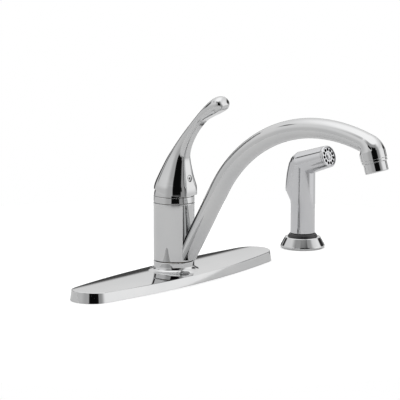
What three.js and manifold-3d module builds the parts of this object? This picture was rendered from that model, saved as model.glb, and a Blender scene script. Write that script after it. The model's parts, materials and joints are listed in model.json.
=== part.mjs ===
// Side spray kitchen faucet: deck plate, swivelling gooseneck spout, single lever with a
// ceramic cartridge, and a hand spray that stands in its own holder.
// Millimetres. Origin: centre of the deck plate's underside. +X along the plate towards
// the hand spray, -Y towards the basin, +Z up. z = 0 is the top of the sink deck.
import * as THREE from 'three';
import { mergeVertices } from 'three/addons/utils/BufferGeometryUtils.js';
import Module from 'manifold-3d';

const wasm = await Module();
wasm.setup();

// ---------------------------------------------------------------- driving dimensions
// general clearances
const SEAT_GAP = 0.3;          // between faces that touch on the real object
const HOLE_GAP = 0.3;          // radial, round a pin, stud or tube in its hole

// facets round a full turn: what shows, what is hidden, what is small
const FINE = 36;
const PLAIN = 20;
const SMALL = 10;

// sink deck
const HOLE_PITCH = 101.6;      // 4 inch pitch of the sink's holes
const DECK_THICKNESS = 19;     // what the nuts below clamp

// deck plate
const PLATE_HALF_LENGTH = 138.2;
const PLATE_HALF_WIDTH = 31.3;
const PLATE_END_RADIUS = 20.2;
const PLATE_HEIGHT = 10;
const PLATE_WALL = 2.2;
const PLATE_TOP_WALL = 3;
const PLATE_RIM_ROUND = 1.6;
const PLATE_CROWN_RADIUS = 280;
const COLLAR_RADIUS = 19.3;
const COLLAR_HEIGHT = 8.5;     // above the plate
const COLLAR_FILLET = 4.5;
const UNDERLAY_THICKNESS = 1.5;
const BOSS_RADIUS = 8;
const BOSS_DEPTH = 5;

// plate studs, washers and nuts
const STUD_RADIUS = 4.8;
const STUD_SEAT = 4;           // depth in the boss
const STUD_LENGTH_BELOW = 52;
const WASHER_RADIUS = 16;
const WASHER_THICKNESS = 2;
const STUD_NUT_RADIUS = 11;
const STUD_NUT_HEIGHT = 8;
const STUD_WING_THICKNESS = 4;

// valve body
const COLUMN_RADIUS = 15;
const SHANK_RADIUS = 15.5;
const SHANK_DEPTH = 32;
const FLANGE_RADIUS = 24;
const FLANGE_THICKNESS = 3;
const SCREW_RADIUS = 1.9;
const SCREW_HEAD_RADIUS = 3.4;
const SCREW_HEAD_HEIGHT = 1.6;
const SCREW_HEAD_ROOM = 1.1;   // between a screw's head and the shank
const SCREW_BITE = 2;
const CUP_RADIUS = 13.3;
const CUP_DEPTH = 24;
const COLUMN_ABOVE_HUB = 8.4;
const WATERWAY_RADIUS = 2.8;
const WATERWAY_OFFSET = 9.2;
const MIXED_RADIUS = 5;
const MIXED_DEPTH = 12;
const SUPPLY_SOCKET_DEPTH = 8;

// spout hub and tube
const HUB_RADIUS = 19.26;
const HUB_HEIGHT = 54.8;
const HUB_EDGE_ROUND = 0.7;
const TUBE_RADIUS = 9.1;
const TUBE_WALL = 1.9;
const SPOUT_FOOT_DEPTH = 20.7;  // how far below the hub the tube's axis starts on the hub's axis
const SPOUT_LEAN = 30;         // degrees from vertical
const SPOUT_STRAIGHT = 108.5;
const RISE_RADIUS = 131.3;
const CREST_RADIUS = 150;
const CREST_TURN = 19;         // degrees past the top
const ELBOW_RADIUS = 11;
const OUTLET_TILT = 17;        // degrees the outlet's axis leans forward of vertical
const NOZZLE_RADIUS = 11.8;
const NOZZLE_LENGTH = 7;
const NOZZLE_RING_RADIUS = 11.5;
const NOZZLE_RING_HEIGHT = 2.3;
const AERATOR_RADIUS = 10.5;
const AERATOR_HEIGHT = 8.7;
const AERATOR_THREAD_RADIUS = 8.8;
const AERATOR_THREAD_LENGTH = 6.4;
const AERATOR_BORE = 7.4;
const SCREEN_THICKNESS = 2;
const SCREEN_RECESS = 1.2;
const SCREEN_HOLES = 12;
const SCREEN_HOLE_RADIUS = 0.9;

// seals and slip rings between column and hub
const SLIP_RING_ROOM = 2;       // radial, between the column and the hub
const SLIP_RING_HEIGHT = 4;
const SLIP_RING_INSET = 1.2;
const O_RING_SECTION = 1.35;
const O_RING_HEIGHTS = [9.5, 33.5];   // above the hub's foot

// trim ring, dome, bonnet nut
const TRIM_RADIUS = 19.3;
const TRIM_HEIGHT = 6;
const TRIM_EDGE_ROUND = 0.6;
const DOME_RADIUS = 18.8;
const DOME_WALL = 2.2;
const DOME_OPENING = 12.5;
const PIVOT_BELOW_DOME_SEAT = 0.9;
const BONNET_BORE = 9.6;
const BONNET_HEIGHT = 5;
const BONNET_BITE = 3.1;       // depth in the column's cup

// cartridge
const SEAL_THICKNESS = 2.6;
const HOUSING_WALL = 2;
const FIXED_DISC_HEIGHT = 3.5;
const MOVING_DISC_HEIGHT = 3.2;
const MOVING_DISC_RADIUS = 8.3;
const CARRIER_HEIGHT = 7.2;
const PORT_RADIUS = 2.4;
const PORT_OFFSET = 5.4;
const INLET_SHIFT = -1;        // of the two inlets, towards the front
const STEM_RADIUS = 3.6;
const STEM_BALL_RADIUS = 2.5;
const STEM_ARM = 6;            // pivot down to the ball
const STEM_ABOVE_PIVOT = 28.5;
const STEM_SLOT_HALF_LENGTH = 6.6;
const STEM_PIN_RADIUS = 1.4;
const STEM_PIN_LENGTH = 17;
const TURRET_NECK_RADIUS = 9.2;
const TURRET_NECK_HEIGHT = 3.1;

// handle
const HOOD_CLEARANCE = 0.4;    // between the dome and the hood's hollow
const HOOD_RIM_SLOPE = 0.2;    // rise of the rim towards the back
const HOOD_RIM_ABOVE_TRIM = 4.6;
const FACET_DISTANCE = 18.4;   // how far the facet lies in front of the axis at the plug
const LEVER_BOSS_RADIUS = 6;
const LEVER_BOSS_DROP = 8;     // below the top of the hollow
const SET_SCREW_RADIUS = 2;
const SET_SCREW_LENGTH = 7;
const SET_SCREW_HEIGHT = 18;   // above the pivot
const PLUG_RADIUS = 3;
const PLUG_LENGTH = 3.6;
// the lever's skin: [y, z above the pivot, lean, half width, half depth, facet half width]
const LEVER_SECTIONS = [
  [-1.6, 2.0, 0, 20.4, 20.3, 6.9],
  [-1.6, 6.0, 0, 20.3, 20.2, 6.6],
  [-1.6, 10.0, 0, 19.8, 19.7, 6.0],
  [-1.9, 14.0, 2, 18.5, 18.4, 5.1],
  [-2.7, 19.0, 5, 16.6, 16.6, 4.2],
  [-3.7, 24.0, 8, 14.8, 14.8, 3.6],
  [-6.0, 34.5, 14, 11.3, 11.1, 3.0],
  [-8.8, 42.2, 22, 9.1, 8.5, 2.6],
  [-13.1, 50.4, 32, 7.7, 6.8, 3.0],
  [-18.9, 59.2, 38, 6.9, 5.6, 3.6],
  [-25.4, 67.4, 42, 6.5, 5.0, 4.1],
  [-33.5, 76.0, 47, 7.0, 5.1, 4.7],
  [-40.4, 81.3, 52, 8.1, 6.2, 5.3],
  [-46.6, 85.4, 56, 9.2, 7.3, 5.9],
  [-51.6, 88.6, 59, 9.7, 7.7, 6.1],
  [-55.0, 90.6, 61, 9.4, 7.5, 5.8],
  [-57.4, 92.0, 62, 8.1, 6.6, 4.8],
  [-58.8, 92.8, 62, 5.6, 4.8, 3.0],
];

// diverter
const DIVERTER_BORE = 4.6;
const SPOOL_LENGTH = 14;
const SPOOL_GAP = 0.4;
const DIVERTER_FLOOR = 14;     // above the deck
const DIVERTER_ROOM = 31;
const SPRING_WIRE_WALL = 0.9;

// supplies and spray outlet below the deck
const SUPPLY_RADIUS = 4.76;
const SUPPLY_WALL = 0.9;
const SUPPLY_DROP = 26;        // straight stretch below the shank
const SUPPLY_BEND_RADIUS = 40;
const SUPPLY_SPLAY = 20;       // degrees
const SUPPLY_SLANT = 40;
const SUPPLY_TAIL = 30;
const ADAPTER_RADIUS = 10.4;
const ADAPTER_HEX_RADIUS = 13;
const ADAPTER_HEX_HEIGHT = 8;
const ADAPTER_LENGTH = 24;
const SPRAY_OUTLET_LENGTH = 20;
const SPRAY_OUTLET_THREAD = 6.5;

// hand spray holder
const SPRAY_X = 2 * HOLE_PITCH;
const HOLDER_FOOT_RADIUS = 21.4;
const HOLDER_RADIUS = 22.1;
const HOLDER_RADIUS_HEIGHT = 2.4;
const HOLDER_RIM_RADIUS = 17.4;
const HOLDER_HEIGHT = 10.9;
const HOLDER_RIM_ROUND = 0.6;
const HOLDER_SHANK_RADIUS = 14;
const HOLDER_SHANK_DEPTH = 40;
const HOLDER_BORE = 11.6;
const HOLDER_SEAT_HEIGHT = 4;
const BUSHING_RADIUS = 14.6;
const BUSHING_BORE = 10;
const BUSHING_TOP = 14.2;
const HOLDER_WASHER_RADIUS = 21;
const HOLDER_NUT_RADIUS = 20;
const HOLDER_NUT_HEIGHT = 10;

// hand spray
const GRIP_RADIUS = 12.2;
const GRIP_WALL = 3;
const GRIP_BORE_TOP = 60;
const NOSE_RADIUS = 9.6;
const NOSE_DEPTH = 20;
const HEAD_CENTRE_Z = 83.6;
const HEAD_TILT = 18.5;        // degrees above level
const HEAD_REACH = 33.4;       // from the grip's axis to the face
const HEAD_RADIUS = 10.9;
const HEAD_BORE = 8.6;
const HEAD_BORE_DEPTH = 14;
const HEAD_WATERWAY = 4;
const GRIP_WATERWAY_Y = -5;
const FACE_THICKNESS = 2.4;
const FACE_RADIUS = 9.4;
const FACE_HOLES = 11;
const FACE_HOLE_RADIUS = 1.2;
const FACE_HOLE_CIRCLE = 6.9;
const FACE_BUTTON_RADIUS = 3.6;
const FACE_BUTTON_RISE = 1.2;
const COUPLING_RADIUS = 7.2;
const COUPLING_LENGTH = 12;

// trigger of the hand spray
const TRIGGER_HALF_WIDTH = 7.2;
const TRIGGER_SIDE_GAP = 0.5;
const TRIGGER_PROUD = 0.4;     // how far its back stands out of the hump
const TRIGGER_THICKNESS = 3;
const TRIGGER_TRAVEL = 6;      // degrees
const TRIGGER_FOOT = 55.4;
const TRIGGER_TOP = 91;
const TRIGGER_FOOT_ROOM = 1.8; // below it, for its swing
const TRIGGER_WEB = 3.6;       // half width of the web that carries the pin
const TRIGGER_PIN = [4.8, 85.5];
const TRIGGER_PIN_RADIUS = 1.5;
const TRIGGER_PIN_LENGTH = 17;
const TRIGGER_EYE_RADIUS = 3.6;
const WEB_SLOT_FOOT = 81;
// hump on the grip's back that holds the trigger: [y of its back, z, plan radius]
const HUMP_SECTIONS = [
  [12.0, 43.0, 11],
  [12.9, 46.9, 11],
  [14.9, 50.4, 11],
  [16.2, 52.8, 11],
  [17.3, 54.6, 11],
  [18.1, 57.5, 11],
  [18.1, 61.0, 11],
  [17.6, 66.5, 11],
  [16.6, 74.1, 11],
  [14.4, 83.0, 11],
  [13.0, 86.0, 10.6],
  [11.5, 89.0, 9.6],
  [9.6, 91.4, 8.2],
  [6.6, 94.0, 5.5],
  [5.2, 95.0, 4],
];
const PLUNGER_RADIUS = 2.4;
const PLUNGER_Z = 66;
const PLUNGER_LENGTH = 15.6;
const PLUNGER_HEAD_RADIUS = 3.4;
const PLUNGER_HEAD_LENGTH = 2;
const PLUNGER_TRAVEL = 2.2;
const VALVE_SEAT = -1;         // in front of the grip's axis
const PLUNGER_SPRING_LENGTH = 4;

// ------------------------------------------------------------------ derived places
const collarTop = PLATE_HEIGHT + COLLAR_HEIGHT;
const hubFoot = collarTop + SEAT_GAP;
const hubTop = hubFoot + HUB_HEIGHT;
const hubBore = COLUMN_RADIUS + SLIP_RING_ROOM;
const columnTop = hubTop + COLUMN_ABOVE_HUB;
const cupFloor = columnTop - CUP_DEPTH;
const trimFoot = hubTop + SEAT_GAP;
const trimTop = trimFoot + TRIM_HEIGHT;
const domeFoot = trimTop + SEAT_GAP;
const pivotZ = domeFoot - PIVOT_BELOW_DOME_SEAT;
const hoodHollow = DOME_RADIUS + HOOD_CLEARANCE;
const plateFloor = PLATE_HEIGHT - PLATE_TOP_WALL;
const flangeFoot = plateFloor - SEAT_GAP - FLANGE_THICKNESS;
const bonnetFoot = columnTop - BONNET_BITE;
const plugBack = FACET_DISTANCE - PLUG_LENGTH;
const clampZ = -DECK_THICKNESS - SEAT_GAP;
const shankFoot = -SHANK_DEPTH;
const screwReach = SHANK_RADIUS + SCREW_HEAD_ROOM + SCREW_HEAD_RADIUS;

// ---------------------------------------------------------------- materials
const finish = (colour, roughness, metalness) =>
  new THREE.MeshStandardMaterial({ color: colour, roughness, metalness });
const chrome = () => finish(0xc8c9cc, 0.06, 1);
const brass = () => finish(0xb08d4a, 0.35, 1);
const copper = () => finish(0xb87048, 0.35, 1);
const steel = () => finish(0x9a9da0, 0.35, 1);
const rubber = () => finish(0x151515, 0.8, 0);
const blackPlastic = () => finish(0x1c1c1d, 0.5, 0);
const whitePlastic = () => finish(0xd9d8d2, 0.5, 0);
const ceramic = () => finish(0xe8e4da, 0.25, 0);

// ---------------------------------------------------------------- solids
/** Turns a closed three.js geometry into a solid, facing outwards. */
function solidOf(geometry) {
  const bare = geometry.clone();
  bare.deleteAttribute('normal');
  bare.deleteAttribute('uv');
  const merged = mergeVertices(bare, 1e-4);
  const points = merged.attributes.position.array;
  const corners = [];
  for (let i = 0; i < merged.index.count; i += 3) {
    const [a, b, c] = [0, 1, 2].map((k) => merged.index.getX(i + k));
    if (a !== b && b !== c && c !== a) corners.push(a, b, c);
  }
  if (signedVolume(points, corners) < 0) corners.reverse();
  return new wasm.Manifold(new wasm.Mesh({
    numProp: 3,
    vertProperties: Float32Array.from(points),
    triVerts: Uint32Array.from(corners),
  }));
}

/** Six times the volume that the triangles enclose, negative when they face inwards. */
function signedVolume(points, corners) {
  const [a, b, c] = [new THREE.Vector3(), new THREE.Vector3(), new THREE.Vector3()];
  let sum = 0;
  for (let i = 0; i < corners.length; i += 3) {
    a.fromArray(points, corners[i] * 3);
    b.fromArray(points, corners[i + 1] * 3);
    c.fromArray(points, corners[i + 2] * 3);
    sum += a.dot(b.cross(c));
  }
  return sum;
}

/** Turns a solid back into a geometry for a mesh. */
function geometryOf(solid) {
  const mesh = solid.getMesh();
  const geometry = new THREE.BufferGeometry();
  geometry.setAttribute('position', new THREE.BufferAttribute(mesh.vertProperties, 3));
  geometry.setIndex(new THREE.BufferAttribute(mesh.triVerts, 1));
  geometry.computeVertexNormals();
  return geometry;
}

/** Revolves a profile of [radius, z] points about the Z axis. */
function revolve(profile, segments = FINE) {
  const points = profile.map(([r, z]) => new THREE.Vector2(r, z));
  const geometry = new THREE.LatheGeometry(points, segments);
  geometry.rotateX(Math.PI / 2);
  return solidOf(geometry);
}

/** A round bar on the Z axis. */
const rod = (radius, z0, z1, segments = PLAIN) =>
  revolve([[0, z0], [radius, z0], [radius, z1], [0, z1]], segments);

/** A round tube on the Z axis. */
const ring = (outer, inner, z0, z1, segments = PLAIN) =>
  revolve([[inner, z0], [outer, z0], [outer, z1], [inner, z1], [inner, z0]], segments);

/** A round bar across X, centred on the plane x = 0. */
const crossBar = (radius, length, [y, z], segments = SMALL) =>
  rod(radius, -length / 2, length / 2, segments).rotate([0, 90, 0]).translate([0, y, z]);

/** A round bar that runs forwards, towards -Y, from one distance to another. */
const forwardBar = (radius, from, to, z, segments = SMALL) =>
  rod(radius, from, to, segments).rotate([90, 0, 0]).translate([0, 0, z]);

/** A hexagonal bar on the Z axis. */
const hexBar = (radius, z0, z1) => rod(radius, z0, z1, 6);

/** A box between two corners. */
function block(low, high) {
  const size = high.map((value, i) => value - low[i]);
  const middle = high.map((value, i) => (value + low[i]) / 2);
  return solidOf(new THREE.BoxGeometry(...size)).translate(middle);
}

const ball = (radius, centre, segments = FINE) =>
  solidOf(new THREE.SphereGeometry(radius, segments, segments / 2)).translate(centre);

/** A ring of round section on the Z axis, such as an O-ring. */
const torus = (radius, section, z) =>
  solidOf(new THREE.TorusGeometry(radius, section, 6, PLAIN)).translate([0, 0, z]);

/** Points on an arc in a profile, angles in degrees. */
function arc(centre, radius, from, to, steps) {
  const points = [];
  for (let i = 0; i <= steps; i += 1) {
    const angle = THREE.MathUtils.degToRad(from + ((to - from) * i) / steps);
    points.push([centre[0] + radius * Math.cos(angle), centre[1] + radius * Math.sin(angle)]);
  }
  return points;
}

/** A side outline of [y, z] points, extruded across X. */
function sidePlate(outline, halfWidth) {
  const shape = new THREE.Shape(outline.map(([y, z]) => new THREE.Vector2(y, z)));
  const geometry = new THREE.ExtrudeGeometry(shape, { depth: 2 * halfWidth, bevelEnabled: false });
  geometry.translate(0, 0, -halfWidth);
  const axes = new THREE.Matrix4().makeBasis(
    new THREE.Vector3(0, 1, 0), new THREE.Vector3(0, 0, 1), new THREE.Vector3(1, 0, 0));
  geometry.applyMatrix4(axes);
  return solidOf(geometry);
}

/** A path in the plane x = const, made of straights and bends, with even steps on each. */
class BendPath extends THREE.Curve {
  constructor(start, lean, legs) {
    super();
    this.stations = [];
    let [y, z] = start;
    let angle = THREE.MathUtils.degToRad(lean);
    this.stations.push({ y, z, angle });
    for (const { length = 0, radius = 0, turn = 0, steps = 1 } of legs) {
      const bend = THREE.MathUtils.degToRad(turn) / steps;
      const stretch = turn ? 2 * radius * Math.sin(Math.abs(bend) / 2) : length / steps;
      for (let i = 0; i < steps; i += 1) {
        const heading = angle + bend / 2;
        y -= stretch * Math.sin(heading);
        z += stretch * Math.cos(heading);
        angle += bend;
        this.stations.push({ y, z, angle });
      }
    }
  }

  get steps() {
    return this.stations.length - 1;
  }

  mix(t, key) {
    const place = Math.min(t, 1) * this.steps;
    const index = Math.min(Math.floor(place), this.steps - 1);
    const share = place - index;
    return this.stations[index][key] * (1 - share) + this.stations[index + 1][key] * share;
  }

  getPoint(t, target = new THREE.Vector3()) {
    return target.set(0, this.mix(t, 'y'), this.mix(t, 'z'));
  }

  getTangent(t, target = new THREE.Vector3()) {
    const angle = this.mix(t, 'angle');
    return target.set(0, -Math.sin(angle), Math.cos(angle));
  }

  getPointAt(u, target) {
    return this.getPoint(u, target);
  }

  getTangentAt(u, target) {
    return this.getTangent(u, target);
  }

  get end() {
    return this.stations[this.steps];
  }
}

/** A round bar along a path. */
function sweep(path, radius, sides = PLAIN) {
  const shape = new THREE.Shape(arc([0, 0], radius, 0, 360 * (1 - 1 / sides), sides - 1)
    .map(([x, y]) => new THREE.Vector2(x, y)));
  const options = { extrudePath: path, steps: path.steps, bevelEnabled: false };
  return solidOf(new THREE.ExtrudeGeometry(shape, options));
}

/** The outline of the deck plate, drawn in by an inset: four arcs that meet smoothly. */
function plateOutline(inset) {
  const side = PLATE_HALF_WIDTH - inset;
  const end = PLATE_END_RADIUS - inset;
  const endCentre = PLATE_HALF_LENGTH - PLATE_END_RADIUS;
  const sideRadius = (endCentre ** 2 + side ** 2 - end ** 2) / (2 * (side - end));
  const drop = sideRadius - side;
  const turn = Math.atan2(drop, endCentre);
  const shape = new THREE.Shape();
  shape.absarc(endCentre, 0, end, -turn, turn);
  shape.absarc(0, -drop, sideRadius, turn, Math.PI - turn);
  shape.absarc(-endCentre, 0, end, Math.PI - turn, Math.PI + turn);
  shape.absarc(0, drop, sideRadius, Math.PI + turn, 2 * Math.PI - turn);
  return shape;
}

/** A slab with the plate's outline. */
function plateSlab(inset, z0, z1) {
  const options = { depth: z1 - z0, bevelEnabled: false, curveSegments: 10 };
  return solidOf(new THREE.ExtrudeGeometry(plateOutline(inset), options)).translate([0, 0, z0]);
}

/** Adds a solid to a group as a named mesh. */
function add(group, name, solid, material) {
  const mesh = new THREE.Mesh(geometryOf(solid), material);
  mesh.name = name;
  group.add(mesh);
  return mesh;
}

/** Adds a pair of like pieces, left and right of the body. */
function addPair(group, name, solid, reach, material) {
  add(group, `${name}_left`, solid, material()).position.set(-reach, 0, 0);
  add(group, `${name}_right`, solid, material()).position.set(reach, 0, 0);
}

/** The same solid at several places, joined for one cut. */
const copies = (solid, places) =>
  places.map((place) => solid.translate(place)).reduce((all, one) => all.add(one));

// ---------------------------------------------------------------- deck plate
function crownedSlab() {
  const bottom = -PLATE_RIM_ROUND;
  const options = {
    depth: PLATE_HEIGHT - PLATE_RIM_ROUND - bottom,
    bevelThickness: PLATE_RIM_ROUND,
    bevelSize: PLATE_RIM_ROUND,
    bevelOffset: -PLATE_RIM_ROUND,
    bevelSegments: 3,
    curveSegments: 10,
  };
  const slab = solidOf(new THREE.ExtrudeGeometry(plateOutline(0), options)).translate([0, 0, bottom]);
  const reach = PLATE_HALF_WIDTH + PLATE_WALL;
  const half = THREE.MathUtils.radToDeg(Math.asin(reach / PLATE_CROWN_RADIUS));
  const crown = arc([0, PLATE_HEIGHT - PLATE_CROWN_RADIUS], PLATE_CROWN_RADIUS, 90 - half, 90 + half, SMALL);
  const envelope = sidePlate([...crown, [-reach, 0], [reach, 0]], PLATE_HALF_LENGTH + PLATE_WALL);
  return slab.intersect(envelope);
}

function collar() {
  const edge = COLLAR_RADIUS + COLLAR_FILLET;
  const foot = PLATE_HEIGHT - 0.5;
  const fillet = arc([edge, foot + COLLAR_FILLET], COLLAR_FILLET, 270, 180, 6);
  return revolve([
    [0, plateFloor], [edge, plateFloor], ...fillet, [COLLAR_RADIUS, collarTop], [0, collarTop]]);
}

function deckPlate() {
  const studPlaces = [[-HOLE_PITCH, 0, 0], [HOLE_PITCH, 0, 0]];
  const bossFoot = plateFloor - BOSS_DEPTH;
  const bosses = copies(rod(BOSS_RADIUS, bossFoot, plateFloor + SEAT_GAP), studPlaces);
  const studHoles = copies(rod(STUD_RADIUS + HOLE_GAP, 0, bossFoot + STUD_SEAT), studPlaces);
  const screwHole = rod(SCREW_RADIUS + HOLE_GAP, flangeFoot, plateFloor + SCREW_BITE + SEAT_GAP, SMALL);
  const screwHoles = copies(screwHole, [[-screwReach, 0, 0], [screwReach, 0, 0]]);
  return crownedSlab().add(collar())
    .subtract(plateSlab(PLATE_WALL, -1, plateFloor))
    .add(bosses)
    .subtract(studHoles)
    .subtract(screwHoles)
    .subtract(rod(COLUMN_RADIUS + HOLE_GAP, 0, collarTop + 1, FINE));
}

function plateUnderlay() {
  const studPlaces = [[-HOLE_PITCH, 0, 0], [HOLE_PITCH, 0, 0]];
  return plateSlab(PLATE_WALL + SEAT_GAP, 0, UNDERLAY_THICKNESS)
    .subtract(rod(SHANK_RADIUS + HOLE_GAP, -1, PLATE_HEIGHT, FINE))
    .subtract(copies(rod(STUD_RADIUS + HOLE_GAP, -1, PLATE_HEIGHT), studPlaces));
}

function addDeck(group) {
  add(group, 'deck_plate', deckPlate(), chrome());
  add(group, 'plate_underlay', plateUnderlay(), blackPlastic());
  const studTop = plateFloor - BOSS_DEPTH + STUD_SEAT - SEAT_GAP;
  const washerFoot = clampZ - WASHER_THICKNESS;
  const nutTop = washerFoot - SEAT_GAP;
  const bore = STUD_RADIUS + HOLE_GAP;
  addPair(group, 'plate_stud', rod(STUD_RADIUS, -STUD_LENGTH_BELOW, studTop), HOLE_PITCH, steel);
  addPair(group, 'stud_washer', ring(WASHER_RADIUS, bore, washerFoot, clampZ), HOLE_PITCH, steel);
  const wings = block(
    [-2 * STUD_NUT_RADIUS, -STUD_WING_THICKNESS / 2, nutTop - STUD_NUT_HEIGHT],
    [2 * STUD_NUT_RADIUS, STUD_WING_THICKNESS / 2, nutTop]);
  const nut = rod(STUD_NUT_RADIUS, nutTop - STUD_NUT_HEIGHT, nutTop)
    .add(wings)
    .subtract(rod(bore, nutTop - 2 * STUD_NUT_HEIGHT, nutTop + 1));
  addPair(group, 'stud_wing_nut', nut, HOLE_PITCH, blackPlastic);
}

// ---------------------------------------------------------------- valve body
function valveBody() {
  const outside = revolve([
    [0, shankFoot], [SHANK_RADIUS, shankFoot], [SHANK_RADIUS, flangeFoot], [FLANGE_RADIUS, flangeFoot],
    [FLANGE_RADIUS, flangeFoot + FLANGE_THICKNESS], [COLUMN_RADIUS, flangeFoot + FLANGE_THICKNESS],
    [COLUMN_RADIUS, columnTop], [0, columnTop]]);
  const supplies = [[-WATERWAY_OFFSET, 0, 0], [WATERWAY_OFFSET, 0, 0]];
  const socketTop = shankFoot + SUPPLY_SOCKET_DEPTH;
  const socket = rod(SUPPLY_RADIUS + HOLE_GAP, shankFoot - 1, socketTop);
  const outletWay = rod(WATERWAY_RADIUS, socketTop - 1, DIVERTER_FLOOR + SPOOL_LENGTH);
  const crossWay = rod(WATERWAY_RADIUS, 0, WATERWAY_OFFSET).rotate([-90, 0, 0]);
  const spoutWay = rod(WATERWAY_RADIUS, 0, COLUMN_RADIUS + 1).rotate([90, 0, 0]);
  const grooves = O_RING_HEIGHTS.map((height) => ring(
    COLUMN_RADIUS + 1, COLUMN_RADIUS + O_RING_SECTION / 4 - O_RING_SECTION - SEAT_GAP,
    hubFoot + height - O_RING_SECTION - SEAT_GAP, hubFoot + height + O_RING_SECTION + SEAT_GAP));
  const spoutWayZ = hubFoot + (O_RING_HEIGHTS[0] + O_RING_HEIGHTS[1]) / 2;
  const cuts = [
    rod(CUP_RADIUS, cupFloor, columnTop + 1, FINE),
    rod(MIXED_RADIUS, cupFloor - MIXED_DEPTH, cupFloor + 1),
    rod(DIVERTER_BORE, DIVERTER_FLOOR, cupFloor - MIXED_DEPTH + 1),
    copies(rod(WATERWAY_RADIUS, socketTop - 1, cupFloor + 1), supplies),
    copies(socket, [...supplies, [0, WATERWAY_OFFSET, 0]]),
    outletWay.translate([0, WATERWAY_OFFSET, 0]),
    crossWay.translate([0, 0, DIVERTER_FLOOR + SPOOL_LENGTH]),
    spoutWay.translate([0, 0, spoutWayZ]),
    copies(rod(SCREW_RADIUS + HOLE_GAP, 0, PLATE_HEIGHT, SMALL), [[-screwReach, 0, 0], [screwReach, 0, 0]]),
    ...grooves,
  ];
  return cuts.reduce((body, cut) => body.subtract(cut), outside);
}

function bodyScrew() {
  const headTop = flangeFoot - SEAT_GAP;
  const tip = plateFloor + SCREW_BITE;
  return rod(SCREW_RADIUS, headTop - SEAT_GAP, tip, SMALL)
    .add(rod(SCREW_HEAD_RADIUS, headTop - SCREW_HEAD_HEIGHT, headTop, SMALL));
}

/** The supply tube: straight down, out by the splay and straight down again. */
function supplyPath() {
  return new BendPath([0, shankFoot + SUPPLY_SOCKET_DEPTH - SEAT_GAP], 180, [
    { length: SUPPLY_SOCKET_DEPTH - SEAT_GAP + SUPPLY_DROP, steps: 1 },
    { radius: SUPPLY_BEND_RADIUS, turn: -SUPPLY_SPLAY, steps: 4 },
    { length: SUPPLY_SLANT, steps: 1 },
    { radius: SUPPLY_BEND_RADIUS, turn: SUPPLY_SPLAY, steps: 4 },
    { length: SUPPLY_TAIL, steps: 1 },
  ]);
}

function addSupplies(group) {
  const path = supplyPath();
  const tube = sweep(path, SUPPLY_RADIUS, SMALL)
    .subtract(sweep(path, SUPPLY_RADIUS - SUPPLY_WALL, SMALL));
  const { y, z } = path.end;
  const bore = SUPPLY_RADIUS + HOLE_GAP;
  const adapter = rod(ADAPTER_RADIUS, z - ADAPTER_LENGTH / 2, z + ADAPTER_LENGTH / 2)
    .add(hexBar(ADAPTER_HEX_RADIUS, z + ADAPTER_LENGTH / 2 - ADAPTER_HEX_HEIGHT, z + ADAPTER_LENGTH / 2))
    .subtract(rod(bore, z - SEAT_GAP, z + ADAPTER_LENGTH))
    .subtract(rod(SUPPLY_RADIUS - SUPPLY_WALL, z - ADAPTER_LENGTH, z + ADAPTER_LENGTH))
    .translate([0, y, 0]);
  for (const [side, turn] of [['cold', 90], ['hot', -90]]) {
    const reach = Math.sign(turn) * WATERWAY_OFFSET;
    add(group, `supply_tube_${side}`, tube.rotate([0, 0, turn]).translate([reach, 0, 0]), copper());
    add(group, `supply_adapter_${side}`, adapter.rotate([0, 0, turn]).translate([reach, 0, 0]), brass());
  }
  const top = shankFoot + SUPPLY_SOCKET_DEPTH - SEAT_GAP;
  const foot = shankFoot - SPRAY_OUTLET_LENGTH;
  const outlet = rod(SUPPLY_RADIUS, foot, top)
    .add(rod(SPRAY_OUTLET_THREAD, foot, foot + SPRAY_OUTLET_LENGTH / 2))
    .subtract(rod(SUPPLY_RADIUS - SUPPLY_WALL, foot - 1, top + 1))
    .translate([0, WATERWAY_OFFSET, 0]);
  add(group, 'spray_hose_outlet', outlet, brass());
}

function addValveBody(group) {
  add(group, 'valve_body', valveBody(), brass());
  addPair(group, 'body_screw', bodyScrew(), screwReach, steel);
  const slipBore = COLUMN_RADIUS + HOLE_GAP;
  const slipRing = ring(hubBore - HOLE_GAP, slipBore, 0, SLIP_RING_HEIGHT);
  const lowSlip = slipRing.translate([0, 0, hubFoot + SLIP_RING_INSET]);
  const highSlip = slipRing.translate([0, 0, hubTop - SLIP_RING_INSET - SLIP_RING_HEIGHT]);
  add(group, 'lower_slip_ring', lowSlip, whitePlastic());
  add(group, 'upper_slip_ring', highSlip, whitePlastic());
  for (const [i, name] of ['lower_hub_o_ring', 'upper_hub_o_ring'].entries()) {
    const seal = torus(COLUMN_RADIUS + O_RING_SECTION / 4, O_RING_SECTION, hubFoot + O_RING_HEIGHTS[i]);
    add(group, name, seal, rubber());
  }
  const trim = revolve([
    [COLUMN_RADIUS + HOLE_GAP, trimFoot], [TRIM_RADIUS - TRIM_EDGE_ROUND, trimFoot],
    [TRIM_RADIUS, trimFoot + TRIM_EDGE_ROUND], [TRIM_RADIUS, trimTop - TRIM_EDGE_ROUND],
    [TRIM_RADIUS - TRIM_EDGE_ROUND, trimTop], [COLUMN_RADIUS + HOLE_GAP, trimTop],
    [COLUMN_RADIUS + HOLE_GAP, trimFoot]]);
  add(group, 'trim_ring', trim, chrome());
  add(group, 'dome_cap', domeCap(), chrome());
  const bonnet = ring(CUP_RADIUS - HOLE_GAP, BONNET_BORE, bonnetFoot, bonnetFoot + BONNET_HEIGHT);
  add(group, 'bonnet_nut', bonnet, brass());
}

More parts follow.
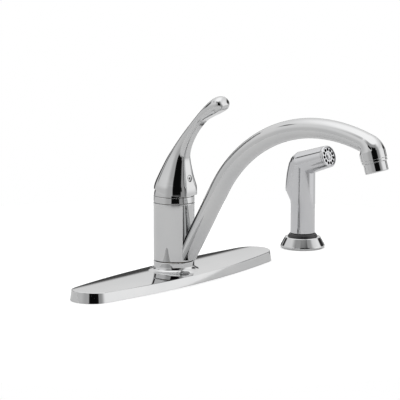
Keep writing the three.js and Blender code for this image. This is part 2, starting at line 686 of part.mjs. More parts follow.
/** The fixed dome under the hood: a shell round the handle's pivot. */
function domeCap() {
  const inside = DOME_RADIUS - DOME_WALL;
  const bore = COLUMN_RADIUS + HOLE_GAP;
  const polar = (r, radius) => THREE.MathUtils.radToDeg(Math.acos(r / radius));
  const foot = THREE.MathUtils.radToDeg(Math.asin((domeFoot - pivotZ) / DOME_RADIUS));
  return revolve([
    [bore, domeFoot],
    ...arc([0, pivotZ], DOME_RADIUS, foot, polar(DOME_OPENING, DOME_RADIUS), 6),
    ...arc([0, pivotZ], inside, polar(DOME_OPENING, inside), polar(bore, inside), 3),
    [bore, domeFoot]]);
}

// ---------------------------------------------------------------- cartridge
const discRadius = CUP_RADIUS - HOLE_GAP - HOUSING_WALL - HOLE_GAP;
const sealTop = cupFloor + SEAT_GAP + SEAL_THICKNESS;
const fixedDiscFoot = sealTop + SEAT_GAP;
const movingDiscFoot = fixedDiscFoot + FIXED_DISC_HEIGHT + SEAT_GAP;
const carrierFoot = movingDiscFoot + MOVING_DISC_HEIGHT + SEAT_GAP;
const ballZ = pivotZ - STEM_ARM;
const turretFoot = pivotZ - STEM_BALL_RADIUS - STEM_PIN_RADIUS + HOLE_GAP;

function addCartridge(group) {
  const housing = ring(CUP_RADIUS - HOLE_GAP, discRadius + HOLE_GAP, fixedDiscFoot, bonnetFoot - SEAT_GAP);
  add(group, 'cartridge_housing', housing, whitePlastic());
  const port = rod(PORT_RADIUS, 0, pivotZ, SMALL);
  const ports = [[-PORT_OFFSET, INLET_SHIFT, 0], [PORT_OFFSET, INLET_SHIFT, 0], [0, PORT_OFFSET, 0]];
  const seal = rod(CUP_RADIUS - HOLE_GAP, cupFloor + SEAT_GAP, sealTop, FINE).subtract(copies(port, ports));
  add(group, 'cartridge_seal', seal, rubber());
  const fixedDisc = rod(discRadius, fixedDiscFoot, fixedDiscFoot + FIXED_DISC_HEIGHT, FINE)
    .subtract(copies(port, ports));
  add(group, 'fixed_disc', fixedDisc, ceramic());
}

function turret() {
  const shoulder = bonnetFoot - SEAT_GAP;
  const slot = block(
    [-STEM_RADIUS - HOLE_GAP, -STEM_SLOT_HALF_LENGTH, turretFoot - 1],
    [STEM_RADIUS + HOLE_GAP, STEM_SLOT_HALF_LENGTH, shoulder + 2 * TURRET_NECK_HEIGHT]);
  return rod(discRadius, turretFoot, shoulder, FINE)
    .add(rod(TURRET_NECK_RADIUS, shoulder - 1, shoulder + TURRET_NECK_HEIGHT, FINE))
    .subtract(slot)
    .subtract(crossBar(STEM_PIN_RADIUS + HOLE_GAP, STEM_PIN_LENGTH + 2 * SEAT_GAP, [0, pivotZ]));
}

function stem() {
  const neck = STEM_BALL_RADIUS * 0.8;
  const shoulder = pivotZ - STEM_BALL_RADIUS;
  return rod(STEM_RADIUS, shoulder, pivotZ + STEM_ABOVE_PIVOT)
    .add(rod(neck, ballZ, shoulder + 1, SMALL))
    .add(ball(STEM_BALL_RADIUS, [0, 0, ballZ], SMALL))
    .subtract(crossBar(STEM_PIN_RADIUS + HOLE_GAP, 2 * DOME_RADIUS, [0, pivotZ]));
}

function addCartridgeInside(group) {
  add(group, 'turret', turret(), whitePlastic());
  add(group, 'stem_pin', crossBar(STEM_PIN_RADIUS, STEM_PIN_LENGTH, [0, pivotZ]), steel());
  add(group, 'stem', stem(), brass());
  const disc = rod(MOVING_DISC_RADIUS, movingDiscFoot, movingDiscFoot + MOVING_DISC_HEIGHT, FINE)
    .subtract(rod(PORT_OFFSET, movingDiscFoot - 1, movingDiscFoot + MOVING_DISC_HEIGHT / 2));
  add(group, 'moving_disc', disc, ceramic());
  const carrierTop = Math.min(carrierFoot + CARRIER_HEIGHT, turretFoot - SEAT_GAP);
  const pocketRadius = STEM_BALL_RADIUS + 2 * HOLE_GAP;
  const carrier = rod(MOVING_DISC_RADIUS, carrierFoot, carrierTop, FINE)
    .subtract(rod(pocketRadius, ballZ - pocketRadius, carrierTop + 1));
  add(group, 'disc_carrier', carrier, whitePlastic());
}

// ---------------------------------------------------------------- diverter
function addDiverter(group) {
  const spoolFoot = DIVERTER_FLOOR + SEAT_GAP;
  const spoolTop = spoolFoot + SPOOL_LENGTH;
  const radius = DIVERTER_BORE - SPOOL_GAP;
  const spool = rod(radius, spoolFoot, spoolTop)
    .subtract(ring(radius + 1, radius / 2, spoolFoot + SPOOL_LENGTH / 3, spoolTop - SPOOL_LENGTH / 3, PLAIN));
  add(group, 'diverter_spool', spool, blackPlastic());
  const springTop = DIVERTER_FLOOR + DIVERTER_ROOM - SEAT_GAP;
  const spring = ring(radius, radius - SPRING_WIRE_WALL, spoolTop + SEAT_GAP, springTop, PLAIN);
  add(group, 'diverter_spring', spring, steel());
}

// ---------------------------------------------------------------- spout
function spoutPath() {
  const foot = hubFoot - SPOUT_FOOT_DEPTH;
  return new BendPath([0, foot], SPOUT_LEAN, [
    { length: SPOUT_STRAIGHT, steps: 2 },
    { radius: RISE_RADIUS, turn: 90 - SPOUT_LEAN, steps: 20 },
    { radius: CREST_RADIUS, turn: CREST_TURN, steps: 6 },
    { radius: ELBOW_RADIUS, turn: 90 - OUTLET_TILT - CREST_TURN, steps: 6 },
  ]);
}

const nozzleFoot = AERATOR_HEIGHT + SEAT_GAP + NOZZLE_RING_HEIGHT + SEAT_GAP;

/** Places a solid built upwards from the outlet's face on the outlet's axis. */
function atOutlet(solid) {
  const { y, z } = spoutPath().end;
  const rise = nozzleFoot + NOZZLE_LENGTH;
  const tilt = THREE.MathUtils.degToRad(OUTLET_TILT);
  return solid.rotate([-OUTLET_TILT, 0, 0])
    .translate([0, y - rise * Math.sin(tilt), z - rise * Math.cos(tilt)]);
}

function spout() {
  const path = spoutPath();
  const { y, z } = path.end;
  const hub = revolve([
    [0, hubFoot], [HUB_RADIUS - HUB_EDGE_ROUND, hubFoot], [HUB_RADIUS, hubFoot + HUB_EDGE_ROUND],
    [HUB_RADIUS, hubTop - HUB_EDGE_ROUND], [HUB_RADIUS - HUB_EDGE_ROUND, hubTop], [0, hubTop]], FINE);
  const nozzle = rod(NOZZLE_RADIUS, nozzleFoot, nozzleFoot + NOZZLE_LENGTH, FINE);
  const threadTop = nozzleFoot + AERATOR_THREAD_LENGTH;
  return sweep(path, TUBE_RADIUS, PLAIN)
    .trimByPlane([0, 0, 1], hubFoot)
    .add(hub)
    .add(atOutlet(nozzle))
    .add(ball(NOZZLE_RADIUS, [0, y, z], FINE))
    .subtract(sweep(path, TUBE_RADIUS - TUBE_WALL, SMALL))
    .subtract(atOutlet(rod(2 * NOZZLE_RADIUS, -NOZZLE_RADIUS, nozzleFoot)))
    .subtract(atOutlet(rod(AERATOR_THREAD_RADIUS + HOLE_GAP, 0, threadTop)))
    .subtract(rod(hubBore, hubFoot - 1, hubTop + 1, FINE));
}

function addSpout(group) {
  add(group, 'spout', spout(), chrome());
  const ringFoot = AERATOR_HEIGHT + SEAT_GAP;
  const ringTop = ringFoot + NOZZLE_RING_HEIGHT;
  const collarRing = ring(NOZZLE_RING_RADIUS, AERATOR_THREAD_RADIUS + HOLE_GAP, ringFoot, ringTop);
  add(group, 'nozzle_ring', atOutlet(collarRing), chrome());
  const threadTop = nozzleFoot + AERATOR_THREAD_LENGTH - 2 * SEAT_GAP - O_RING_SECTION;
  const aerator = rod(AERATOR_RADIUS, 0, AERATOR_HEIGHT, FINE)
    .add(rod(AERATOR_THREAD_RADIUS, AERATOR_HEIGHT - 1, threadTop))
    .subtract(rod(AERATOR_BORE, -1, threadTop + 1));
  add(group, 'aerator_housing', atOutlet(aerator), chrome());
  const hole = rod(SCREEN_HOLE_RADIUS, 0, AERATOR_HEIGHT, 8);
  const holes = [];
  for (let i = 0; i < SCREEN_HOLES; i += 1) {
    const angle = (2 * Math.PI * i) / SCREEN_HOLES;
    const radius = AERATOR_BORE * (i % 2 ? 0.35 : 0.7);
    holes.push([radius * Math.cos(angle), radius * Math.sin(angle), 0]);
  }
  const screen = rod(AERATOR_BORE - HOLE_GAP, SCREEN_RECESS, SCREEN_RECESS + SCREEN_THICKNESS)
    .subtract(copies(hole, holes));
  add(group, 'aerator_screen', atOutlet(screen), blackPlastic());
  const washerFoot = threadTop + SEAT_GAP;
  const washerBore = TUBE_RADIUS - TUBE_WALL;
  const washer = ring(AERATOR_THREAD_RADIUS, washerBore, washerFoot, washerFoot + O_RING_SECTION);
  add(group, 'aerator_washer', atOutlet(washer), rubber());
}

// ---------------------------------------------------------------- handle
/** A closed skin through flat sections, each an oval with its front cut flat. */
function leverSkin() {
  const around = 32;
  const last = LEVER_SECTIONS.length - 1;
  const geometry = new THREE.CylinderGeometry(1, 1, last, around, last);
  const places = geometry.attributes.position;
  for (let i = 0; i < places.count; i += 1) {
    const row = LEVER_SECTIONS[Math.round(places.getY(i) + last / 2)];
    const [y, rise, lean, halfWidth, halfDepth, halfFacet] = row;
    const facet = halfFacet / halfWidth;
    const flat = -halfDepth * Math.sqrt(1 - facet ** 2);
    const depth = Math.max(flat, places.getZ(i) * halfDepth);
    const angle = THREE.MathUtils.degToRad(lean);
    const back = y + depth * Math.cos(angle);
    const up = pivotZ + rise + depth * Math.sin(angle);
    places.setXYZ(i, -places.getX(i) * halfWidth, back, up);
  }
  return solidOf(geometry);
}

/** Everything above the hood's sloping rim. */
function rimTrim(solid) {
  const normal = new THREE.Vector3(0, -HOOD_RIM_SLOPE, 1).normalize();
  const rimHeight = trimTop + HOOD_RIM_ABOVE_TRIM;
  return solid.trimByPlane(normal.toArray(), rimHeight * normal.z);
}

function handle() {
  const hollowTop = pivotZ + hoodHollow;
  const boss = rod(LEVER_BOSS_RADIUS, hollowTop - LEVER_BOSS_DROP, hollowTop + 1);
  const socket = rod(STEM_RADIUS + HOLE_GAP, pivotZ, pivotZ + STEM_ABOVE_PIVOT + SEAT_GAP);
  const screwZ = pivotZ + SET_SCREW_HEIGHT;
  return rimTrim(leverSkin())
    .subtract(ball(hoodHollow, [0, 0, pivotZ], FINE))
    .add(boss)
    .subtract(socket)
    .subtract(forwardBar(SET_SCREW_RADIUS + HOLE_GAP, 0, 2 * DOME_RADIUS, screwZ))
    .subtract(forwardBar(PLUG_RADIUS + HOLE_GAP, plugBack, 2 * DOME_RADIUS, screwZ, PLAIN));
}

function addHandle(group) {
  add(group, 'handle_lever', handle(), chrome());
  const screwStart = STEM_RADIUS + SEAT_GAP;
  const screwZ = pivotZ + SET_SCREW_HEIGHT;
  const setScrew = forwardBar(SET_SCREW_RADIUS, screwStart, screwStart + SET_SCREW_LENGTH, screwZ);
  add(group, 'set_screw', setScrew, steel());
  const plug = forwardBar(PLUG_RADIUS, plugBack + SEAT_GAP, FACET_DISTANCE, screwZ, PLAIN);
  add(group, 'handle_plug', plug, chrome());
}

// ---------------------------------------------------------------- hand spray holder
function addHolder(group) {
  const place = [SPRAY_X, 0, 0];
  const seatBore = BUSHING_RADIUS + SEAT_GAP;
  const rimInner = HOLDER_RIM_RADIUS - 2 * HOLDER_RIM_ROUND;
  const rimCentre = [HOLDER_RIM_RADIUS - HOLDER_RIM_ROUND, HOLDER_HEIGHT - HOLDER_RIM_ROUND];
  const holder = revolve([
    [HOLDER_BORE, -HOLDER_SHANK_DEPTH], [HOLDER_SHANK_RADIUS, -HOLDER_SHANK_DEPTH], [HOLDER_SHANK_RADIUS, 0],
    [HOLDER_FOOT_RADIUS, 0], [HOLDER_RADIUS, HOLDER_RADIUS_HEIGHT / 2], [HOLDER_RADIUS, HOLDER_RADIUS_HEIGHT],
    [HOLDER_RIM_RADIUS, HOLDER_HEIGHT - HOLDER_RIM_ROUND],
    ...arc(rimCentre, HOLDER_RIM_ROUND, 20, 160, 4),
    [rimInner, HOLDER_HEIGHT - 2 * HOLDER_RIM_ROUND], [seatBore, HOLDER_HEIGHT - 3 * HOLDER_RIM_ROUND],
    [seatBore, HOLDER_SEAT_HEIGHT], [HOLDER_BORE, HOLDER_SEAT_HEIGHT], [HOLDER_BORE, -HOLDER_SHANK_DEPTH]]);
  add(group, 'spray_holder', holder.translate(place), chrome());
  const foot = HOLDER_SEAT_HEIGHT + SEAT_GAP;
  const bulge = BUSHING_TOP - HOLDER_HEIGHT;
  const bushing = revolve([
    [BUSHING_BORE, foot], [BUSHING_RADIUS, foot], [BUSHING_RADIUS, HOLDER_HEIGHT],
    [BUSHING_RADIUS - bulge / 4, HOLDER_HEIGHT + bulge / 2], [GRIP_RADIUS + 2 * SEAT_GAP, BUSHING_TOP],
    [BUSHING_BORE, BUSHING_TOP], [BUSHING_BORE, foot]]);
  add(group, 'holder_bushing', bushing.translate(place), blackPlastic());
  const bore = HOLDER_SHANK_RADIUS + HOLE_GAP;
  const washerFoot = clampZ - WASHER_THICKNESS;
  const washer = ring(HOLDER_WASHER_RADIUS, bore, washerFoot, clampZ);
  add(group, 'holder_washer', washer.translate(place), rubber());
  const nutTop = washerFoot - SEAT_GAP;
  const nut = hexBar(HOLDER_NUT_RADIUS, nutTop - HOLDER_NUT_HEIGHT, nutTop)
    .subtract(rod(bore, nutTop - HOLDER_NUT_HEIGHT - 1, nutTop + 1, FINE));
  add(group, 'holder_nut', nut.translate(place), blackPlastic());
}

// ---------------------------------------------------------------- hand spray
/** Places a solid built upwards from the grip's axis on the head's axis. */
const onHead = (solid) => solid.rotate([90 - HEAD_TILT, 0, 0]).translate([0, 0, HEAD_CENTRE_Z]);

const gripFoot = BUSHING_TOP + SEAT_GAP;
const faceFoot = HEAD_REACH - FACE_THICKNESS;

/** The hump grown by a distance: a stack of circles whose backs lie on a smooth line. */
function humpSkin(growth) {
  const last = HUMP_SECTIONS.length - 1;
  const geometry = new THREE.CylinderGeometry(1, 1, last, FINE, last);
  const places = geometry.attributes.position;
  for (let i = 0; i < places.count; i += 1) {
    const [back, z, radius] = HUMP_SECTIONS[Math.round(places.getY(i) + last / 2)];
    const [across, along] = [places.getX(i), places.getZ(i)];
    places.setXYZ(i, -across * (radius + growth), back - radius + along * (radius + growth), z);
  }
  return solidOf(geometry);
}

/** Where the hump's back lies at a height. */
function humpBack(z) {
  const above = HUMP_SECTIONS.findIndex((row) => row[1] >= z);
  const [low, high] = [HUMP_SECTIONS[above - 1], HUMP_SECTIONS[above]];
  const share = (z - low[1]) / (high[1] - low[1]);
  return low[0] * (1 - share) + high[0] * share;
}

/** Heights from the trigger's foot to its top. */
function triggerHeights() {
  const between = HUMP_SECTIONS.map((row) => row[1])
    .filter((z) => z > TRIGGER_FOOT + 1 && z < TRIGGER_TOP - 1);
  return [TRIGGER_FOOT, ...between, TRIGGER_TOP];
}

/** Where the trigger's front lies at a height. */
const triggerFront = (z) => humpBack(z) + TRIGGER_PROUD - TRIGGER_THICKNESS;

/** The pocket in the hump that the trigger swings into. */
function triggerPocket() {
  const top = TRIGGER_TOP + TRIGGER_SIDE_GAP;
  const foot = TRIGGER_FOOT - TRIGGER_FOOT_ROOM;
  const swing = Math.tan(THREE.MathUtils.degToRad(TRIGGER_TRAVEL));
  const floor = triggerHeights().map((z) => {
    const travel = Math.max(0, TRIGGER_PIN[1] - z) * swing;
    return [triggerFront(z) - travel - TRIGGER_SIDE_GAP, z];
  });
  const back = 2 * GRIP_RADIUS;
  return sidePlate([
    [floor[0][0], foot], ...floor, [floor.at(-1)[0], top], [back, top], [back, foot],
  ], TRIGGER_HALF_WIDTH + TRIGGER_SIDE_GAP);
}

function sprayBody() {
  const headEnd = faceFoot - SEAT_GAP;
  const taper = revolve([[0, 0], [GRIP_RADIUS, 0], [HEAD_RADIUS, headEnd], [0, headEnd]], FINE);
  const grip = rod(GRIP_RADIUS, gripFoot, HEAD_CENTRE_Z, FINE);
  const nose = rod(NOSE_RADIUS, gripFoot - NOSE_DEPTH, gripFoot + 1, FINE);
  const slotFront = TRIGGER_PIN[0] - TRIGGER_EYE_RADIUS - SEAT_GAP;
  const slotSide = TRIGGER_WEB + HOLE_GAP;
  const slotTop = TRIGGER_TOP + TRIGGER_SIDE_GAP;
  const webSlot = block([-slotSide, slotFront, WEB_SLOT_FOOT], [slotSide, 2 * GRIP_RADIUS, slotTop]);
  const pinHole = crossBar(
    TRIGGER_PIN_RADIUS + HOLE_GAP, TRIGGER_PIN_LENGTH + 2 * SEAT_GAP, TRIGGER_PIN);
  const plungerHole = forwardBar(
    PLUNGER_RADIUS + HOLE_GAP, -2 * GRIP_RADIUS, VALVE_SEAT, PLUNGER_Z);
  const roomLength = PLUNGER_HEAD_LENGTH + PLUNGER_TRAVEL + PLUNGER_SPRING_LENGTH + 3 * SEAT_GAP;
  const valveRoom = forwardBar(
    PLUNGER_HEAD_RADIUS + HOLE_GAP, VALVE_SEAT, VALVE_SEAT + roomLength, PLUNGER_Z, PLAIN);
  return grip
    .add(ball(GRIP_RADIUS, [0, 0, HEAD_CENTRE_Z], FINE))
    .add(onHead(taper))
    .add(nose)
    .add(humpSkin(0))
    .subtract(triggerPocket())
    .subtract(webSlot)
    .subtract(pinHole)
    .subtract(rod(GRIP_RADIUS - GRIP_WALL - 2, gripFoot - NOSE_DEPTH - 1, GRIP_BORE_TOP, FINE))
    .subtract(rod(HEAD_WATERWAY, GRIP_BORE_TOP - 1, HEAD_CENTRE_Z).translate([0, GRIP_WATERWAY_Y, 0]))
    .subtract(onHead(rod(HEAD_BORE, headEnd - HEAD_BORE_DEPTH, headEnd + 1)))
    .subtract(onHead(rod(HEAD_WATERWAY, -GRIP_WATERWAY_Y, headEnd)))
    .subtract(plungerHole)
    .subtract(valveRoom);
}

function sprayFace() {
  const hole = rod(FACE_HOLE_RADIUS, faceFoot - 1, HEAD_REACH + 1, 12);
  const places = [];
  for (let i = 0; i < FACE_HOLES; i += 1) {
    const angle = (2 * Math.PI * i) / FACE_HOLES;
    places.push([FACE_HOLE_CIRCLE * Math.cos(angle), FACE_HOLE_CIRCLE * Math.sin(angle), 0]);
  }
  return rod(FACE_RADIUS, faceFoot, HEAD_REACH, FINE)
    .subtract(copies(hole, places))
    .subtract(rod(FACE_BUTTON_RADIUS + HOLE_GAP, faceFoot - 1, HEAD_REACH + 1));
}

function addSpray(group) {
  group.position.set(SPRAY_X, 0, 0);
  add(group, 'spray_body', sprayBody(), chrome());
  add(group, 'spray_face', onHead(sprayFace()), chrome());
  const faceRing = ring(HEAD_RADIUS, FACE_RADIUS + HOLE_GAP, faceFoot, HEAD_REACH, FINE);
  add(group, 'spray_face_ring', onHead(faceRing), chrome());
  const button = revolve([
    [0, faceFoot], [FACE_BUTTON_RADIUS, faceFoot], [FACE_BUTTON_RADIUS, HEAD_REACH],
    [FACE_BUTTON_RADIUS * 0.7, HEAD_REACH + FACE_BUTTON_RISE * 0.7],
    [0, HEAD_REACH + FACE_BUTTON_RISE]], PLAIN);
  add(group, 'spray_face_button', onHead(button), chrome());
  const couplingTop = gripFoot - NOSE_DEPTH - SEAT_GAP;
  const coupling = hexBar(COUPLING_RADIUS, couplingTop - COUPLING_LENGTH, couplingTop)
    .subtract(rod(COUPLING_RADIUS / 2, couplingTop - COUPLING_LENGTH - 1, couplingTop + 1, SMALL));
  add(group, 'hose_coupling', coupling, brass());
  add(group, 'trigger_pin', crossBar(TRIGGER_PIN_RADIUS, TRIGGER_PIN_LENGTH, TRIGGER_PIN), steel());
  const springBack = VALVE_SEAT + SEAT_GAP + PLUNGER_HEAD_LENGTH + SEAT_GAP;
  const springBore = PLUNGER_HEAD_RADIUS - SPRING_WIRE_WALL;
  const spring = ring(PLUNGER_HEAD_RADIUS, springBore, springBack, springBack + PLUNGER_SPRING_LENGTH)
    .rotate([90, 0, 0]).translate([0, 0, PLUNGER_Z]);
  add(group, 'valve_spring', spring, steel());
}

function addTrigger(group) {
  group.position.set(SPRAY_X, 0, 0);
  const heights = triggerHeights();
  const front = heights.map((z) => [triggerFront(z), z]);
  const back = 2 * GRIP_RADIUS;
  const outline = [...front, [back, TRIGGER_TOP], [back, TRIGGER_FOOT]];
  const paddle = sidePlate(outline, TRIGGER_HALF_WIDTH).intersect(humpSkin(TRIGGER_PROUD));
  const [pinY, pinZ] = TRIGGER_PIN;
  const webBack = humpBack(pinZ + TRIGGER_EYE_RADIUS) - TRIGGER_PROUD;
  const web = block(
    [-TRIGGER_WEB, pinY, pinZ - TRIGGER_EYE_RADIUS + SEAT_GAP],
    [TRIGGER_WEB, webBack, pinZ + TRIGGER_EYE_RADIUS - SEAT_GAP]);
  const eye = crossBar(TRIGGER_EYE_RADIUS, 2 * TRIGGER_WEB, TRIGGER_PIN, PLAIN).add(web);
  const pinHole = crossBar(TRIGGER_PIN_RADIUS + HOLE_GAP, 2 * GRIP_RADIUS, TRIGGER_PIN);
  add(group, 'spray_trigger', paddle.add(eye).subtract(pinHole), chrome());
}

function addPlunger(group) {
  group.position.set(SPRAY_X, 0, 0);
  const headFront = VALVE_SEAT + SEAT_GAP + PLUNGER_HEAD_LENGTH;
  const plunger = forwardBar(PLUNGER_RADIUS, headFront - PLUNGER_LENGTH, headFront, PLUNGER_Z)
    .add(forwardBar(PLUNGER_HEAD_RADIUS, VALVE_SEAT + SEAT_GAP, headFront, PLUNGER_Z, PLAIN));
  add(group, 'spray_plunger', plunger, brass());
}

// ---------------------------------------------------------------- assembly
const faucet = new THREE.Group();
for (const addPieces of [
  addDeck, addValveBody, addSupplies, addCartridge, addCartridgeInside, addDiverter,
  addSpout, addHandle, addHolder, addSpray, addTrigger, addPlunger,
]) {
  const group = new THREE.Group();
  addPieces(group);
  faucet.add(group);
}

export default faucet;
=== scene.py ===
"""Side spray kitchen faucet, dressed for a studio picture.

A deck plate carries a swivelling gooseneck spout and a single lever; a hand spray stands in a
holder of its own. All shapes are built in millimetres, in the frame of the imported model, and
turned into metres when a piece is finished.
"""

import json
import logging
import math
from dataclasses import dataclass, field
from enum import Enum
from typing import Iterable, Sequence

import bmesh
import bpy
from mathutils import Matrix, Vector


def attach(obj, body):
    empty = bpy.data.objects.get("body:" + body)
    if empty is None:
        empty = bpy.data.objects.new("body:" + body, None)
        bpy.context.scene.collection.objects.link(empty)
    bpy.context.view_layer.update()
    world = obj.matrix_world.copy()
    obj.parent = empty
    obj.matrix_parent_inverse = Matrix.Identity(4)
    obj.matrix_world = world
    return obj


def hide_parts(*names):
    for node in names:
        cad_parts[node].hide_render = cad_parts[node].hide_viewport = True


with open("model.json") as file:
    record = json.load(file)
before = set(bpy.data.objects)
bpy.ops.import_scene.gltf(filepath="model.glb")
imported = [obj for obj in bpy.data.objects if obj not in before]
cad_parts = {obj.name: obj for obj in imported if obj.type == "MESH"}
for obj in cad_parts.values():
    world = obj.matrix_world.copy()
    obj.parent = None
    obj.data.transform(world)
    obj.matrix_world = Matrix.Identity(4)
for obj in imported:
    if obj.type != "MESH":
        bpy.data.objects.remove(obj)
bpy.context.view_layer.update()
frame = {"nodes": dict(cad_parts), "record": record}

log = logging.getLogger("faucet")

MM = 0.001  # a millimetre in metres
WELD = 1e-4  # corners that are nearer than this are one
FIT = 0.3  # room between two parts, one of which sits in the other
OVERCUT = 1.0  # how far a cutter reaches past what it cuts
CREASE = 28.0  # edges that turn by more degrees stay sharp
THREAD_CREASE = 40.0  # the same on pieces with threads
FULL_TURN = 2 * math.pi
HOLE_PITCH = 101.6  # between two holes of the sink
SPRAY_X = 2 * HOLE_PITCH
CLAMP_HEIGHT = -19.3  # where the washers press from below
Point = tuple[float, float]
Piece = bpy.types.Object
Edge = bmesh.types.BMEdge
Vert = bmesh.types.BMVert
Socket = bpy.types.NodeSocket
Tree = bpy.types.ShaderNodeTree


class Body(Enum):
    """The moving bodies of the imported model."""

    FAUCET = "faucet"
    SPOUT = "spout"
    HANDLE = "handle"
    DIVERTER = "diverter_spool"
    SPRAY = "hand_spray"
    TRIGGER = "spray_trigger"


@dataclass(frozen=True)
class Skin:
    """A finish that is ready for use: its material, and the record's slot that it fills."""

    material: bpy.types.Material
    slot: str


# --- shapes
def arc_points(centre: Point, radius: float, start: float, stop: float, steps: int) -> list[Point]:
    """Points on an arc of a profile.

    Args:
        centre: Centre of the arc, as (radius, height).
        radius: Radius of the arc.
        start: First angle in degrees, from the outward direction.
        stop: Last angle in degrees.
        steps: Number of steps between them.

    Returns:
        The points, both ends included.
    """
    turn = [math.radians(start + (stop - start) * i / steps) for i in range(steps + 1)]
    return [(centre[0] + radius * math.cos(a), centre[1] + radius * math.sin(a)) for a in turn]


def smooth_path(points: Sequence[Sequence[float]], steps: int) -> list[list[float]]:
    """A smooth row of values through given rows (a Catmull-Rom spline).

    Args:
        points: The rows that it passes through.
        steps: Number of steps between two given rows.

    Returns:
        The rows, the first and the last given row included.
    """
    rows = []
    last = len(points) - 1
    for i in range(last):
        before, here = points[max(i - 1, 0)], points[i]
        there, after = points[i + 1], points[min(i + 2, last)]
        for k in range(steps):
            t = k / steps
            rows.append([
                0.5 * (2 * b + (c - a) * t + (2 * a - 5 * b + 4 * c - d) * t**2
                       + (3 * b - a - 3 * c + d) * t**3)
                for a, b, c, d in zip(before, here, there, after)
            ])
    rows.append(list(points[last]))
    return rows


@dataclass(frozen=True)
class Leg:
    """One stretch of a bent bar: a straight length, or a bend with a radius and a turn.

    An end size other than 0 is the bar's radius where the stretch ends.
    """

    length: float = 0.0
    radius: float = 0.0
    turn: float = 0.0
    steps: int = 1
    end_size: float = 0.0


